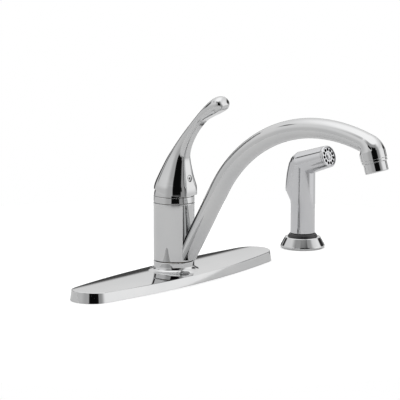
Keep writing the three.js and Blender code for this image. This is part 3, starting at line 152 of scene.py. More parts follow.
class Shape:
    """A mesh in the making, in millimetres."""

    def __init__(self) -> None:
        """Starts with nothing; only a bent bar's end is somewhere else than the origin."""
        self.bm = bmesh.new()
        self.end = Vector()

    # -- ways to start
    @classmethod
    def turned(cls, profile: Sequence[Point], rounds: dict[int, float] | None = None,
               segments: int = 96) -> "Shape":
        """A shape turned on a lathe about the Z axis.

        Args:
            profile: Points (radius, height), open where it meets the axis, else closed.
            rounds: The round of a profile point's corner, by its index.
            segments: Number of faces round the axis.

        Returns:
            The closed shape.
        """
        shape = cls()
        corners = [shape.bm.verts.new((r, 0, z)) for r, z in profile]
        pairs = list(zip(corners, corners[1:]))
        if min(profile[0][0], profile[-1][0]) > 0:
            pairs.append((corners[-1], corners[0]))
        edges = [shape.bm.edges.new(pair) for pair in pairs]
        bmesh.ops.spin(shape.bm, geom=corners + edges, cent=(0, 0, 0), axis=(0, 0, 1),
                       angle=FULL_TURN, steps=segments, use_merge=True)
        shape.weld()
        for index, size in (rounds or {}).items():
            shape.round_ring(profile[index], size)
        return shape

    @classmethod
    def bar(cls, radius: float, foot: float, top: float, round_size: float = 0.0,
            segments: int = 48) -> "Shape":
        """A round bar on the Z axis, with an optional round on both rims."""
        rounds = {1: round_size, 2: round_size} if round_size else None
        return cls.turned([(0, foot), (radius, foot), (radius, top), (0, top)], rounds, segments)

    @classmethod
    def ring(cls, outer: float, inner: float, foot: float, top: float, round_size: float = 0.0,
             segments: int = 96) -> "Shape":
        """A plain ring on the Z axis, with an optional round on its outer rims."""
        profile = [(inner, foot), (outer, foot), (outer, top), (inner, top)]
        return cls.turned(profile, {1: round_size, 2: round_size} if round_size else None, segments)

    @classmethod
    def ball(cls, radius: float, centre: Sequence[float], segments: int = 96) -> "Shape":
        """A ball.

        Args:
            radius: Its radius.
            centre: Its centre.
            segments: Number of faces round it.

        Returns:
            The closed shape.
        """
        shape = cls()
        bmesh.ops.create_uvsphere(shape.bm, u_segments=segments, v_segments=segments // 2,
                                  radius=radius, matrix=Matrix.Translation(centre))
        return shape

    @classmethod
    def block(cls, low: Sequence[float], high: Sequence[float], round_size: float = 0.0) -> "Shape":
        """A block between two corners.

        Args:
            low: The corner with the lowest coordinates.
            high: The corner with the highest.
            round_size: The round on all its edges, or 0 for none.

        Returns:
            The closed shape.
        """
        shape = cls()
        low, high = Vector(low), Vector(high)
        place = Matrix.LocRotScale((low + high) / 2, None, high - low)
        bmesh.ops.create_cube(shape.bm, size=1, matrix=place)
        if round_size:
            shape.soften(shape.bm.edges[:], round_size)
        return shape

    @classmethod
    def hexagon(cls, radius: float, foot: float, top: float, chamfer: float = 0.8) -> "Shape":
        """A hexagonal bar on the Z axis with its corners turned off.

        Args:
            radius: Its radius over the corners.
            foot: Height of its foot.
            top: Height of its top.
            chamfer: Height of the slope at each end.

        Returns:
            The closed shape.
        """
        shape = cls()
        bmesh.ops.create_cone(shape.bm, cap_ends=True, segments=6, radius1=radius,
                              radius2=radius, depth=top - foot,
                              matrix=Matrix.Translation((0, 0, (foot + top) / 2)))
        across = radius * math.cos(math.pi / 6)
        turned = cls.turned([
            (0, foot), (across, foot), (radius + WELD, foot + chamfer),
            (radius + WELD, top - chamfer), (across, top), (0, top)], segments=72)
        return shape.keep(turned)

    @classmethod
    def bent(cls, size: float, start: Sequence[float], lean: float, legs: Iterable[Leg],
             segments: int = 72) -> "Shape":
        """A round bar bent in a plane of constant x.

        Args:
            size: Radius of the bar at its start.
            start: Where its centre line starts, as (y, z).
            lean: Its first heading in degrees, from +Z towards -Y.
            legs: Its straights and bends.
            segments: Number of faces round it.

        Returns:
            The closed shape.
        """
        shape = cls()
        bm = shape.bm
        centre = Vector((0, *start))
        angle = math.radians(lean)
        place = Matrix.Translation(centre) @ Matrix.Rotation(angle, 4, "X")
        rim = bmesh.ops.create_circle(bm, cap_ends=True, segments=segments, radius=size,
                                      matrix=place)["verts"]
        loop = [e for e in bm.edges if all(v in rim for v in e.verts)]
        for leg in legs:
            turn = math.radians(leg.turn) / leg.steps
            grow = ((leg.end_size or size) / size) ** (1 / leg.steps)
            for _ in range(leg.steps):
                made = bmesh.ops.extrude_edge_only(bm, edges=loop)["geom"]
                rim = [g for g in made if isinstance(g, Vert)]
                loop = [g for g in made if isinstance(g, Edge) and all(v in rim for v in g.verts)]
                stretch = leg.length / leg.steps
                if turn:
                    stretch = 2 * leg.radius * math.sin(abs(turn) / 2)
                heading = angle + turn / 2
                step = Vector((0, -math.sin(heading), math.cos(heading))) * stretch
                bmesh.ops.rotate(bm, verts=rim, cent=centre, matrix=Matrix.Rotation(turn, 3, "X"))
                bmesh.ops.scale(bm, verts=rim, vec=(grow,) * 3,
                                space=Matrix.Translation(-centre))
                bmesh.ops.translate(bm, verts=rim, vec=step)
                centre += step
                angle += turn
            size = leg.end_size or size
        bmesh.ops.contextual_create(bm, geom=loop)
        shape.end = centre
        return shape

    # -- ways to change
    def weld(self) -> "Shape":
        """Merges corners that lie on each other.

        Returns:
            The shape itself.
        """
        bmesh.ops.remove_doubles(self.bm, verts=self.bm.verts[:], dist=WELD)
        bmesh.ops.recalc_face_normals(self.bm, faces=self.bm.faces[:])
        return self

    def edge_loop(self, corners: list[Vert]) -> list[Edge]:
        """Joins corners into a closed loop of edges."""
        return [self.bm.edges.new(pair) for pair in zip(corners, corners[1:] + corners[:1])]

    def bridge(self, loops: list[list[Edge]], closed: bool = False) -> "Shape":
        """Draws faces from each loop of edges to the next.

        Args:
            loops: The loops, in order.
            closed: True if the last one meets the first, else both get a flat face.

        Returns:
            The shape itself.
        """
        for near, far in zip(loops, loops[1:] + loops[:1] if closed else loops[1:]):
            bmesh.ops.bridge_loops(self.bm, edges=near + far)
        if not closed:
            for loop in (loops[0], loops[-1]):
                bmesh.ops.contextual_create(self.bm, geom=loop)
        bmesh.ops.recalc_face_normals(self.bm, faces=self.bm.faces[:])
        return self

    def soften(self, edges: Iterable[Edge], size: float, steps: int = 4) -> "Shape":
        """Rounds edges over."""
        bmesh.ops.bevel(self.bm, geom=list(edges), offset=size, segments=steps, profile=0.5,
                        affect="EDGES", clamp_overlap=True, material=-1)
        return self

    def round_ring(self, corner: Point, size: float, steps: int = 5) -> "Shape":
        """Rounds over the ring that one point of a turned profile has made.

        Args:
            corner: The profile point, as (radius, height).
            size: The round's size.
            steps: Number of faces across it.

        Returns:
            The shape itself.
        """
        def on_ring(vert: Vert) -> bool:
            """Tells whether a corner of the mesh lies on the ring."""
            reach = math.hypot(vert.co.x, vert.co.y)
            return abs(reach - corner[0]) < 0.01 and abs(vert.co.z - corner[1]) < 0.01

        edges = [e for e in self.bm.edges if all(on_ring(v) for v in e.verts)]
        return self.soften(edges, size, steps)

    def turn(self, axis: str, degrees: float, centre: Sequence[float] = (0, 0, 0)) -> "Shape":
        """Turns the shape about an axis through a point."""
        bmesh.ops.rotate(self.bm, verts=self.bm.verts[:], cent=centre,
                         matrix=Matrix.Rotation(math.radians(degrees), 3, axis))
        return self

    def move(self, x: float = 0.0, y: float = 0.0, z: float = 0.0) -> "Shape":
        """Moves the shape."""
        bmesh.ops.translate(self.bm, verts=self.bm.verts[:], vec=(x, y, z))
        return self

    def slice(self, point: Sequence[float], normal: Sequence[float]) -> "Shape":
        """Cuts the shape along a plane and closes the cut.

        Args:
            point: A point of the plane.
            normal: Its direction, which points to the side that stays.

        Returns:
            The shape itself.
        """
        bm = self.bm
        cut = bmesh.ops.bisect_plane(bm, geom=bm.verts[:] + bm.edges[:] + bm.faces[:],
                                     plane_co=point, plane_no=normal, clear_inner=True)["geom_cut"]
        rim = [g for g in cut if isinstance(g, Edge) and g.is_boundary]
        bmesh.ops.contextual_create(bm, geom=rim)
        return self

    def mesh(self, name: str = "working") -> bpy.types.Mesh:
        """The shape as a mesh of Blender's, still in millimetres.

        Args:
            name: The mesh's name.

        Returns:
            The mesh.
        """
        mesh = bpy.data.meshes.new(name)
        self.bm.to_mesh(mesh)
        return mesh

    def combine(self, other: "Shape", operation: str) -> "Shape":
        """Joins, cuts or intersects the shape with another.

        Args:
            other: The other closed shape, which is used up.
            operation: UNION, DIFFERENCE or INTERSECT.

        Returns:
            The shape itself.
        """
        holders = []
        for shape in (self, other):
            holder = bpy.data.objects.new("working", shape.mesh())
            bpy.context.scene.collection.objects.link(holder)
            holders.append(holder)
        step = holders[0].modifiers.new("combine", "BOOLEAN")
        step.object, step.operation, step.solver = holders[1], operation, "EXACT"
        bpy.context.view_layer.update()
        done = holders[0].evaluated_get(bpy.context.evaluated_depsgraph_get())
        self.bm.clear()
        self.bm.from_mesh(done.to_mesh())
        done.to_mesh_clear()
        for holder in holders:
            mesh = holder.data
            bpy.data.objects.remove(holder)
            bpy.data.meshes.remove(mesh)
        other.bm.free()
        return self

    def unite(self, other: "Shape") -> "Shape":
        """Joins another closed shape to this one."""
        return self.combine(other, "UNION")

    def cut(self, other: "Shape") -> "Shape":
        """Cuts another closed shape out of this one."""
        return self.combine(other, "DIFFERENCE")

    def keep(self, other: "Shape") -> "Shape":
        """Keeps what this shape shares with another."""
        return self.combine(other, "INTERSECT")

    def beside(self, other: "Shape") -> "Shape":
        """Adds a separate shape to the same piece.

        Args:
            other: The other shape, which is used up.

        Returns:
            The shape itself.
        """
        mesh = other.mesh()
        self.bm.from_mesh(mesh)
        bpy.data.meshes.remove(mesh)
        other.bm.free()
        return self

    # -- the end
    def finish(self, name: str, body: Body, skin: Skin, *replaces: str,
               crease: float = CREASE) -> Piece:
        """Turns the shape into a piece of the model.

        Args:
            name: The piece's name.
            body: The body that it rides on.
            skin: Its finish.
            replaces: The nodes that it stands for.
            crease: Edges that turn by more degrees than this stay sharp.

        Returns:
            The piece.
        """
        bm = self.bm
        bmesh.ops.remove_doubles(bm, verts=bm.verts[:], dist=WELD)
        bmesh.ops.dissolve_degenerate(bm, edges=bm.edges[:], dist=WELD)
        bmesh.ops.recalc_face_normals(bm, faces=bm.faces[:])
        bmesh.ops.scale(bm, verts=bm.verts[:], vec=(MM,) * 3)
        for face in bm.faces:
            face.smooth = True
        mesh = self.mesh(name)
        bm.free()
        mesh.set_sharp_from_angle(angle=math.radians(crease))
        mesh.materials.append(skin.material)
        piece = bpy.data.objects.new(name, mesh)
        bpy.context.scene.collection.objects.link(piece)
        weighted = piece.modifiers.new("flat faces stay flat", "WEIGHTED_NORMAL")
        weighted.keep_sharp = True
        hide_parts(*replaces)
        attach(piece, body.value)
        return piece


# --- finishes
class Sums:
    """Adds sums to a node tree, each as a socket that the next can use."""

    def __init__(self, tree: Tree) -> None:
        """Works on one tree."""
        self.tree = tree

    def feed(self, socket: Socket, value: float | Socket) -> None:
        """Gives a node's input its value.

        Args:
            socket: The input.
            value: A number to set, or a socket to link.
        """
        if isinstance(value, (int, float)):
            socket.default_value = value
        else:
            self.tree.links.new(value, socket)

    def add(self, operation: str, *values: float | Socket) -> Socket:
        """Adds one sum.

        Args:
            operation: The kind of sum.
            values: What goes into it.

        Returns:
            Its result.
        """
        node = self.tree.nodes.new("ShaderNodeMath")
        node.operation = operation
        for socket, value in zip(node.inputs, values):
            self.feed(socket, value)
        return node.outputs[0]

    def ramp(self, value: Socket, start: float | Socket, stop: float | Socket,
             low: float | Socket = 0.0, high: float | Socket = 1.0,
             kind: str = "SMOOTHSTEP") -> Socket:
        """Adds a step from one level to another.

        Args:
            value: What the step depends on.
            start: The value where it starts.
            stop: The value where it ends.
            low: The level before it.
            high: The level after it.
            kind: SMOOTHSTEP, or LINEAR for a straight one.

        Returns:
            Its result.
        """
        node = self.tree.nodes.new("ShaderNodeMapRange")
        node.interpolation_type = kind
        for name, given in (("Value", value), ("From Min", start), ("From Max", stop),
                            ("To Min", low), ("To Max", high)):
            self.feed(node.inputs[name], given)
        return node.outputs["Result"]


def surface_group() -> Tree:
    """Builds the shared group that gives a surface its fine life.

    Returns:
        A group with the inputs Grain (1/m), Cloud (1/m), Stretch, Low, High, and the outputs
        Blend (colour mask), Roughness and Height.
    """
    tree = bpy.data.node_groups.new("surface life", "ShaderNodeTree")
    sides = {"INPUT": ("Grain", "Cloud", "Stretch", "Low", "High"),
             "OUTPUT": ("Blend", "Roughness", "Height")}
    for side, names in sides.items():
        for name in names:
            tree.interface.new_socket(name=name, in_out=side, socket_type="NodeSocketFloat")
    nodes, links = tree.nodes, tree.links
    sums = Sums(tree)
    given = nodes.new("NodeGroupInput").outputs
    place = nodes.new("ShaderNodeTexCoord").outputs["Object"]
    scale = nodes.new("ShaderNodeCombineXYZ")
    for axis, value in (("X", 1.0), ("Y", 1.0), ("Z", given["Stretch"])):
        sums.feed(scale.inputs[axis], value)
    stretched = nodes.new("ShaderNodeVectorMath")
    stretched.operation = "MULTIPLY"
    links.new(place, stretched.inputs[0])
    links.new(scale.outputs[0], stretched.inputs[1])
    noises = []
    for vector, size, detail in ((stretched.outputs[0], "Grain", 3.0), (place, "Cloud", 2.0)):
        noise = nodes.new("ShaderNodeTexNoise")
        noise.inputs["Detail"].default_value = detail
        links.new(vector, noise.inputs["Vector"])
        links.new(given[size], noise.inputs["Scale"])
        noises.append(noise.outputs["Fac"])
    grain, cloud = noises
    mix = sums.add("MULTIPLY_ADD", cloud, 0.6, sums.add("MULTIPLY", grain, 0.4))
    blend = sums.ramp(mix, 0.3, 0.7, kind="LINEAR")
    rough = sums.ramp(blend, 0.0, 1.0, given["Low"], given["High"], kind="LINEAR")
    results = nodes.new("NodeGroupOutput").inputs
    for name, value in (("Blend", blend), ("Roughness", rough), ("Height", grain)):
        links.new(value, results[name])
    return tree


@dataclass(frozen=True)
class Finish:
    """One finish: two colours that drift into each other, a gloss range and a fine relief."""

    name: str
    slot: str
    colour: tuple[float, float, float]
    drift: tuple[float, float, float]
    rough: tuple[float, float]
    metallic: float = 0.0
    grain: float = 900.0
    cloud: float = 40.0
    stretch: float = 1.0
    relief: float = 0.0
    relief_depth: float = 0.00002

    def build(self, life: Tree) -> bpy.types.Material:
        """Builds the node material.

        Args:
            life: The shared surface group.

        Returns:
            The material.
        """
        material = bpy.data.materials.new(self.name)
        material.use_nodes = True
        nodes, links = material.node_tree.nodes, material.node_tree.links
        shader = nodes["Principled BSDF"]
        group = nodes.new("ShaderNodeGroup")
        group.node_tree = life
        values = {"Grain": self.grain, "Cloud": self.cloud, "Stretch": self.stretch,
                  "Low": self.rough[0], "High": self.rough[1]}
        for name, value in values.items():
            group.inputs[name].default_value = value
        mix = nodes.new("ShaderNodeMix")
        mix.data_type = "RGBA"
        mix.inputs["A"].default_value = (*self.colour, 1)
        mix.inputs["B"].default_value = (*self.drift, 1)
        links.new(group.outputs["Blend"], mix.inputs["Factor"])
        links.new(mix.outputs["Result"], shader.inputs["Base Color"])
        links.new(group.outputs["Roughness"], shader.inputs["Roughness"])
        shader.inputs["Metallic"].default_value = self.metallic
        if self.relief:
            bump = nodes.new("ShaderNodeBump")
            bump.inputs["Strength"].default_value = self.relief
            bump.inputs["Distance"].default_value = self.relief_depth
            links.new(group.outputs["Height"], bump.inputs["Height"])
            links.new(bump.outputs["Normal"], shader.inputs["Normal"])
        return material


# A slot's first finish also dresses the nodes that keep their solids.
FINISHES = (
    Finish("polished chrome", "chrome", (0.56, 0.565, 0.57), (0.60, 0.60, 0.60), (0.03, 0.06),
           metallic=1.0, grain=60.0, cloud=25.0),
    Finish("chromed plastic", "chrome", (0.56, 0.565, 0.58), (0.60, 0.60, 0.61), (0.06, 0.10),
           metallic=1.0, grain=140.0, cloud=30.0, relief=0.05, relief_depth=0.0001),
    Finish("machined brass", "brass", (0.62, 0.45, 0.20), (0.70, 0.53, 0.27), (0.22, 0.38),
           metallic=1.0, grain=500.0, stretch=8.0, relief=0.25),
    Finish("drawn copper", "copper", (0.66, 0.36, 0.22), (0.52, 0.27, 0.16), (0.22, 0.45),
           metallic=1.0, grain=350.0, stretch=0.15, relief=0.2),
    Finish("zinc plated steel", "steel", (0.50, 0.51, 0.52), (0.60, 0.60, 0.58), (0.28, 0.45),
           metallic=1.0, grain=700.0, stretch=4.0, relief=0.2),
    Finish("black rubber", "rubber", (0.018, 0.018, 0.018), (0.032, 0.032, 0.031), (0.55, 0.8),
           grain=1200.0, relief=0.5, relief_depth=0.00004),
    Finish("black moulding", "black_plastic", (0.020, 0.020, 0.022), (0.030, 0.030, 0.032),
           (0.28, 0.42), grain=1500.0, relief=0.3, relief_depth=0.00003),
    Finish("white moulding", "white_plastic", (0.70, 0.69, 0.65), (0.76, 0.75, 0.71),
           (0.35, 0.5), grain=900.0, relief=0.2),
    Finish("ground ceramic", "ceramic", (0.80, 0.78, 0.72), (0.84, 0.82, 0.77), (0.10, 0.2),
           grain=1500.0, relief=0.1),
    # painted shade: a near-black finish for the jets' walls and floors, standing in for the shadow
    # inside deep holes
    Finish("painted jet shade", "black_plastic", (0.006, 0.006, 0.007), (0.012, 0.012, 0.013),
           (0.7, 0.9)),
)


def build_finishes() -> dict[str, Skin]:
    """Builds every finish.

    Returns:
        The finishes by name.
    """
    life = surface_group()
    return {finish.name: Skin(finish.build(life), finish.slot) for finish in FINISHES}


def dress_nodes(skins: dict[str, Skin]) -> None:
    """Gives each carried-over node the first finish of its material slot.

    Args:
        skins: The finishes by name.
    """
    by_slot: dict[str, bpy.types.Material] = {}
    for skin in skins.values():
        by_slot.setdefault(skin.slot, skin.material)
    slots = {part["node"]: part["material_slot"] for part in frame["record"]["subparts"]}
    for node, piece in frame["nodes"].items():
        piece.data.materials.clear()
        piece.data.materials.append(by_slot[slots[node]])


# --- deck plate
@dataclass
class DeckPlate:
    """The long oval plate with the collar that carries the spout."""

    chrome: Skin
    half_length: float = 138.2
    half_width: float = 31.3
    end_radius: float = 20.2
    height: float = 10.0
    crown_radius: float = 280.0
    skirt_flare: float = 1.3
    rim_round: float = 1.7
    wall: float = 2.2
    roof: float = 7.0
    collar_radius: float = 19.3
    collar_top: float = 18.5
    collar_round: float = 0.7
    fillet: float = 4.5
    fillet_stop: float = 262.0
    fillet_steps: int = 12
    bore: float = 15.3
    segments: int = 240
    # where the loops of the top lie, as shares of the way from the fillet to the rim
    spread: Sequence[float] = (0, 0.02, 0.05, 0.1, 0.17, 0.26, 0.37, 0.5, 0.64, 0.78, 0.9, 1)

    def outline(self, inset: float) -> list[Point]:
        """Points of the oval: four arcs that meet smoothly, one point per segment.

        Args:
            inset: How far the oval is drawn in.

        Returns:
            Points (x, y), the first on +X.
        """
        side, end = self.half_width - inset, self.end_radius - inset
        centre = self.half_length - self.end_radius
        big = (centre**2 + side**2 - end**2) / (2 * (side - end))
        drop = big - side
        join = math.atan2(drop, centre)
        quarter = self.segments // 4
        tip = quarter // 3
        points = [(centre + end * math.cos(a), end * math.sin(a))
                  for a in (join * i / tip for i in range(tip))]
        rest = quarter - tip
        for i in range(rest):
            a = join + (math.pi / 2 - join) * i / rest
            points.append((big * math.cos(a), big * math.sin(a) - drop))
        points.append((0.0, side))
        half = points + [(-x, y) for x, y in reversed(points[:-1])]
        return half + [(x, -y) for x, y in reversed(half[1:-1])]

    def top_at(self, y: float) -> float:
        """Height of the crowned top at a distance from the middle line."""
        return self.height - self.crown_radius + math.sqrt(self.crown_radius**2 - y**2)

    def loop(self, shape: Shape, points: Sequence[Point], z: float | None) -> list[Edge]:
        """Adds one closed loop of edges.

        Args:
            shape: The shape that gets it.
            points: Its points (x, y).
            z: Its height, or None for the height of the crowned top.

        Returns:
            Its edges.
        """
        return shape.edge_loop([shape.bm.verts.new((x, y, self.top_at(y) if z is None else z))
                                for x, y in points])

    def circle(self, radius: float) -> list[Point]:
        """Points of a circle that match the outline's points one by one."""
        turn = [FULL_TURN * i / self.segments for i in range(self.segments)]
        return [(radius * math.cos(a), radius * math.sin(a)) for a in turn]

    def build(self) -> list[Piece]:
        """Builds the plate from matching loops, from the bore over the top and back below.

        Returns:
            The plate, alone.
        """
        shape = Shape()
        foot_radius = self.collar_radius + self.fillet
        loops = [self.loop(shape, self.circle(self.bore), self.collar_top),
                 self.loop(shape, self.circle(self.collar_radius), self.collar_top)]
        for r, z in arc_points((foot_radius, self.height + self.fillet), self.fillet,
                               180, self.fillet_stop, self.fillet_steps):
            loops.append(self.loop(shape, self.circle(r), z))
            share = (r - self.collar_radius) / self.fillet
            for vert in {v for e in loops[-1] for v in e.verts}:
                vert.co.z += share**2 * (self.top_at(vert.co.y) - self.height)
        inner, outer = self.circle(foot_radius), self.outline(self.skirt_flare)
        for share in self.spread:
            points = [(a[0] + (b[0] - a[0]) * share, a[1] + (b[1] - a[1]) * share)
                      for a, b in zip(inner, outer)]
            loops.append(self.loop(shape, points, None))
        rim = loops[-1]
        below = self.outline(self.wall)
        loops += [self.loop(shape, self.outline(0), 0.0), self.loop(shape, below, 0.0),
                  self.loop(shape, below, self.roof),
                  self.loop(shape, self.circle(self.bore), self.roof)]
        shape.bridge(loops, closed=True)
        shape.soften(rim, self.rim_round, 7)
        shape.round_ring((self.collar_radius, self.collar_top), self.collar_round, 3)
        return [shape.finish("plate_shell", Body.FAUCET, self.chrome, "deck_plate")]


# --- column top
@dataclass
class ColumnTop:
    """The fixed trim ring and the dome under the lever's hood."""

    chrome: Skin
    trim_radius: float = 19.3
    trim_draft: float = 0.35
    trim_foot: float = 73.9
    trim_top: float = 79.9
    bore: float = 15.3
    dome_radius: float = 18.8
    dome_wall: float = 2.2
    dome_centre: float = 79.3
    dome_foot: float = 80.2
    dome_opening: float = 12.5
    rim_round: float = 0.6
    segments: int = 128

    def build(self) -> list[Piece]:
        """Builds the ring and the dome.

        Returns:
            The two pieces.
        """
        trim = Shape.turned([
            (self.bore, self.trim_foot), (self.trim_radius, self.trim_foot),
            (self.trim_radius - self.trim_draft, self.trim_top), (self.bore, self.trim_top)],
            {1: self.rim_round, 2: self.rim_round}, self.segments)
        low = math.degrees(math.asin((self.dome_foot - self.dome_centre) / self.dome_radius))
        inside = self.dome_radius - self.dome_wall
        high = math.degrees(math.acos(self.dome_opening / self.dome_radius))
        high_in = math.degrees(math.acos(self.dome_opening / inside))
        low_in = math.degrees(math.acos(self.bore / inside))
        centre = (0.0, self.dome_centre)
        profile = [(self.bore, self.dome_foot)]
        profile += arc_points(centre, self.dome_radius, low, high, 20)
        profile += arc_points(centre, inside, high_in, low_in, 10)
        dome = Shape.turned(profile, segments=self.segments)
        return [trim.finish("trim_collar", Body.FAUCET, self.chrome, "trim_ring"),
                dome.finish("dome_shell", Body.FAUCET, self.chrome, "dome_cap")]


# --- spout
@dataclass
class Spout:
    """The hub that turns on the column, its gooseneck tube and the outlet's fittings."""

    chrome: Skin
    black: Skin
    hub_radius: float = 19.26
    hub_bore: float = 17.0
    hub_foot: float = 19.1
    hub_top: float = 73.6
    hub_round: float = 0.8
    tube_radius: float = 9.1
    tube_foot: float = -1.9
    tube_root: float = 2.0
    lean: float = 30.0
    straight: float = 108.5
    rise_radius: float = 131.3
    crest_radius: float = 150.0
    crest_turn: float = 19.0
    elbow_radius: float = 11.0
    tilt: float = 17.0
    nozzle_radius: float = 11.8
    nozzle_length: float = 7.0
    nozzle_foot: float = 11.6
    ring_radius: float = 11.5
    aerator_radius: float = 10.5
    aerator_height: float = 8.7
    aerator_bore: float = 7.4
    aerator_wall: float = 1.4
    aerator_neck: float = 5.0
    screen_foot: float = 1.2
    screen_top: float = 3.2
    hole_radius: float = 0.62
    hole_foot: float = 0.6
    hole_top: float = 2.4
    # [distance from the middle, number of holes] of the screen's rings
    hole_rings: Sequence[tuple[float, int]] = ((0.0, 1), (2.2, 6), (4.4, 12), (6.2, 18))
    outlet: Vector = field(init=False)

    def build_tube(self) -> Shape:
        """Builds the hub with the gooseneck that grows out of it.

        Returns:
            The joined shape.
        """
        elbow = 90 - self.tilt - self.crest_turn
        tube = Shape.bent(self.tube_radius, (0.0, self.tube_foot), self.lean, [
            Leg(length=self.straight, steps=8),
            Leg(radius=self.rise_radius, turn=90 - self.lean, steps=48),
            Leg(radius=self.crest_radius, turn=self.crest_turn, steps=18),
            Leg(radius=self.elbow_radius, turn=elbow, steps=18, end_size=self.nozzle_radius),
            Leg(length=self.nozzle_length, steps=1),
        ], segments=96)
        self.outlet = tube.end
        tube.slice((0, 0, self.hub_foot + self.tube_root), (0, 0, 1))
        hub = Shape.bar(self.hub_radius, self.hub_foot, self.hub_top, self.hub_round, 160)
        return hub.unite(tube).cut(
            Shape.bar(self.hub_bore, self.hub_foot - OVERCUT, self.hub_top + OVERCUT, segments=96))

    def at_outlet(self, shape: Shape) -> Shape:
        """Places a shape on the outlet's axis.

        Args:
            shape: The shape, built upwards from the outlet's face.

        Returns:
            The shape itself.
        """
        tilt = math.radians(self.tilt)
        return shape.turn("X", -self.tilt).move(
            y=self.outlet.y - self.nozzle_foot * math.sin(tilt),
            z=self.outlet.z - self.nozzle_foot * math.cos(tilt))

    def build_screen(self) -> Shape:
        """Builds the disc with holes that the water leaves through.

        Returns:
            The closed shape.
        """
        screen = Shape.bar(self.aerator_bore - FIT, self.screen_foot, self.screen_top, 0.4, 64)
        holes = Shape()
        for row, count in self.hole_rings:
            for i in range(count):
                a = FULL_TURN * i / count
                hole = Shape.bar(self.hole_radius, self.hole_foot, self.hole_top, segments=10)
                holes.beside(hole.move(row * math.cos(a), row * math.sin(a)))
        return screen.cut(holes)

    def build(self) -> list[Piece]:
        """Builds the spout and what sits at its outlet.

        Returns:
            The pieces.
        """
        body = self.build_tube()
        pocket = Shape.bar(self.aerator_radius - 1, 0, self.nozzle_foot + 5, segments=64)
        body.cut(self.at_outlet(pocket))
        lip, height = self.aerator_bore, self.aerator_height
        collar = Shape.ring(self.ring_radius, lip, height + FIT, self.nozzle_foot - FIT, 0.35)
        neck, neck_top = lip + self.aerator_wall, height + self.aerator_neck
        cup = Shape.turned([
            (lip, 0), (self.aerator_radius, 0), (self.aerator_radius, height), (neck, height),
            (neck, neck_top), (lip, neck_top)], {0: 0.5, 1: 0.9, 2: 0.4})
        pieces = [body.finish("hub_and_gooseneck", Body.SPOUT, self.chrome, "spout")]
        for shape, name, skin, node in (
                (collar, "outlet_ring", self.chrome, "nozzle_ring"),
                (cup, "aerator_cup", self.chrome, "aerator_housing"),
                (self.build_screen(), "outlet_screen", self.black, "aerator_screen")):
            pieces.append(self.at_outlet(shape).finish(name, Body.SPOUT, skin, node))
        return pieces


# --- diverter
@dataclass
class Diverter:
    """The spool under the valve: two lands, and a stem that slides into its spring."""

    black: Skin
    foot: float = 14.3
    length: float = 14.0
    radius: float = 4.2
    neck_radius: float = 2.1
    stem_radius: float = 3.0
    stem_length: float = 3.6

    def build(self) -> list[Piece]:
        """Builds the spool.

        Returns:
            The spool, alone.
        """
        land = self.length / 3
        top = self.foot + self.length
        shoulder = top - self.stem_length
        spool = Shape.turned([
            (0, self.foot), (self.radius, self.foot), (self.radius, self.foot + land),
            (self.neck_radius, self.foot + land), (self.neck_radius, top - land),
            (self.radius, top - land), (self.radius, shoulder), (self.stem_radius, shoulder),
            (self.stem_radius, top), (0, top)], {1: 0.4, 8: 0.4}, 96)
        return [spool.finish("diverter_slide", Body.DIVERTER, self.black, "diverter_spool")]


